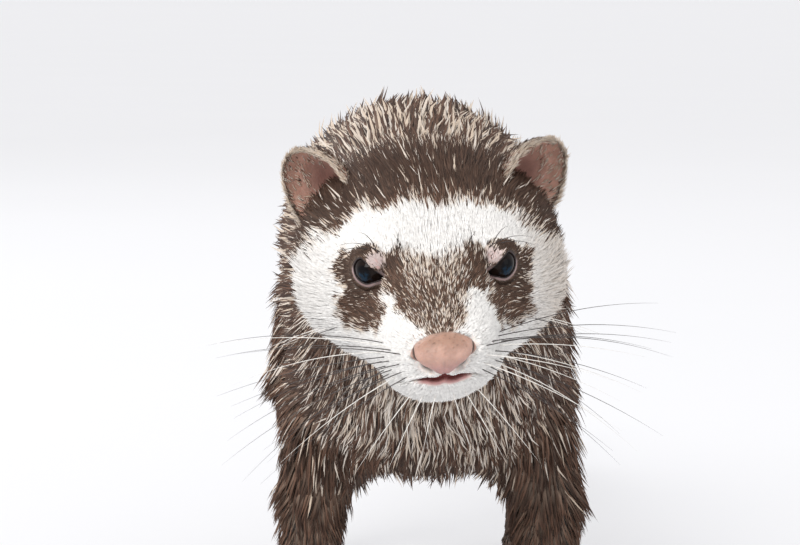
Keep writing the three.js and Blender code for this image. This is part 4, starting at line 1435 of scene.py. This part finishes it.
def add_animal():
    skin = part_toes(base_skin())
    for sign in SIDES.values():
        skin = carve_lids(skin, sign)
    points, triangles, kinds, marks = carve_muzzle(skin)
    normals = vertex_normals(points, triangles)
    near = Neighbours(len(points), triangles)
    local = to_head(points)
    add_eye_marks(marks, points)
    add_lip_marks(marks, local)
    on_foot = is_kind(kinds, *PAWS) * (to_body(points)[:, 2] < SOLE)
    marks["sole"] = smooth_step(-0.5, -0.8, normals[:, 2]) * on_foot
    fields = coat_fields(points, kinds, normals, near, marks)
    tone, wetness = skin_tones(local, marks, fields["dark"])
    points = from_head(leaned(local))
    piece = new_mesh("skin", points, triangles)
    paint(piece, tone)
    moisten(piece, wetness)
    finish_piece(piece, "skin", "coat_white", *[name for name in FLESH if kind_of(name) != "eye"])
    for side, sign in SIDES.items():
        add_eye(side, sign)
        add_ear(side, sign)
    add_claws()
    add_whiskers()
    add_coat(points, triangles, kinds, vertex_normals(points, triangles), fields)


add_animal()


# Camera at the photograph's viewing angle.
CAMERA_ELEVATION = 5
CAMERA_DISTANCE = 600  # from the point between the eyes
PIXELS_PER_MM = 5.5
EYES_AT = (434.5, 265)  # pixels, the point between the eyes in the photograph
PICTURE = (800, 545)
SENSOR = 36


def add_camera():
    data = bpy.data.cameras.new("camera")
    camera = bpy.data.objects.new("camera", data)
    bpy.context.scene.collection.objects.link(camera)
    elevation = math.radians(CAMERA_ELEVATION)
    ahead = Vector((0, math.cos(elevation), -math.sin(elevation)))
    aside = Vector((1, 0, 0))
    above = aside.cross(ahead)
    target = Vector((middle("eye_left") + middle("eye_right")) / 2)
    target -= aside * (EYES_AT[0] - PICTURE[0] / 2) / PIXELS_PER_MM * MM
    target += above * (EYES_AT[1] - PICTURE[1] / 2) / PIXELS_PER_MM * MM
    camera.location = target - ahead * CAMERA_DISTANCE * MM
    camera.rotation_euler = ahead.to_track_quat("-Z", "Y").to_euler()
    data.sensor_width = SENSOR
    data.lens = SENSOR * CAMERA_DISTANCE * PIXELS_PER_MM / PICTURE[0]
    data.clip_start = 0.01
    bpy.context.scene.camera = camera


# The studio: a wide pale floor under large soft lights.
FLOOR_REACH = 40.0  # metres
FLOOR_TONE = [0.34, 0.34, 0.345]
LIGHTS = {  # place in metres, size, watts and colour
    "key": {"place": (-0.75, -1.35, 1.15), "size": 0.9, "watts": 20, "colour": (1.0, 0.985, 0.97)},
    "fill": {"place": (1.3, -1.1, 0.55), "size": 1.0, "watts": 2.5, "colour": (1.0, 0.97, 0.94)},
    "rim": {"place": (-0.9, 1.1, 1.2), "size": 0.8, "watts": 9, "colour": (0.96, 0.98, 1.0)},
}


def add_floor():
    points = np.array([[-1, -1, 0], [1, -1, 0], [1, 1, 0], [-1, 1, 0]]) * FLOOR_REACH
    floor = new_mesh("floor", points, np.array([[0, 1, 2, 3]]))
    paint(floor, np.tile(FLOOR_TONE, (len(points), 1)))
    floor.data.materials.append(mottled("paper", (3, 0.99, 1.01), None, {
        "Roughness": 0.9, "Emission Color": (0.84, 0.84, 0.86, 1), "Emission Strength": 0.62,
    }))


def add_lights():
    aim = Vector(HEAD_ORIGIN)
    for name, light in LIGHTS.items():
        data = bpy.data.lights.new(name, "AREA")
        data.size = light["size"]
        data.energy = light["watts"]
        data.color = light["colour"]
        lamp = bpy.data.objects.new(name, data)
        lamp.location = light["place"]
        lamp.rotation_euler = (aim - lamp.location).to_track_quat("-Z", "Y").to_euler()
        bpy.context.scene.collection.objects.link(lamp)
    world = bpy.data.worlds.new("studio")
    world.use_nodes = True
    ambient = world.node_tree.nodes["Background"]
    ambient.inputs["Color"].default_value = (0.985, 0.985, 1.0, 1)
    ambient.inputs["Strength"].default_value = 0.85
    bpy.context.scene.world = world
    bpy.context.scene.view_settings.view_transform = "Standard"


add_camera()
add_floor()
add_lights()
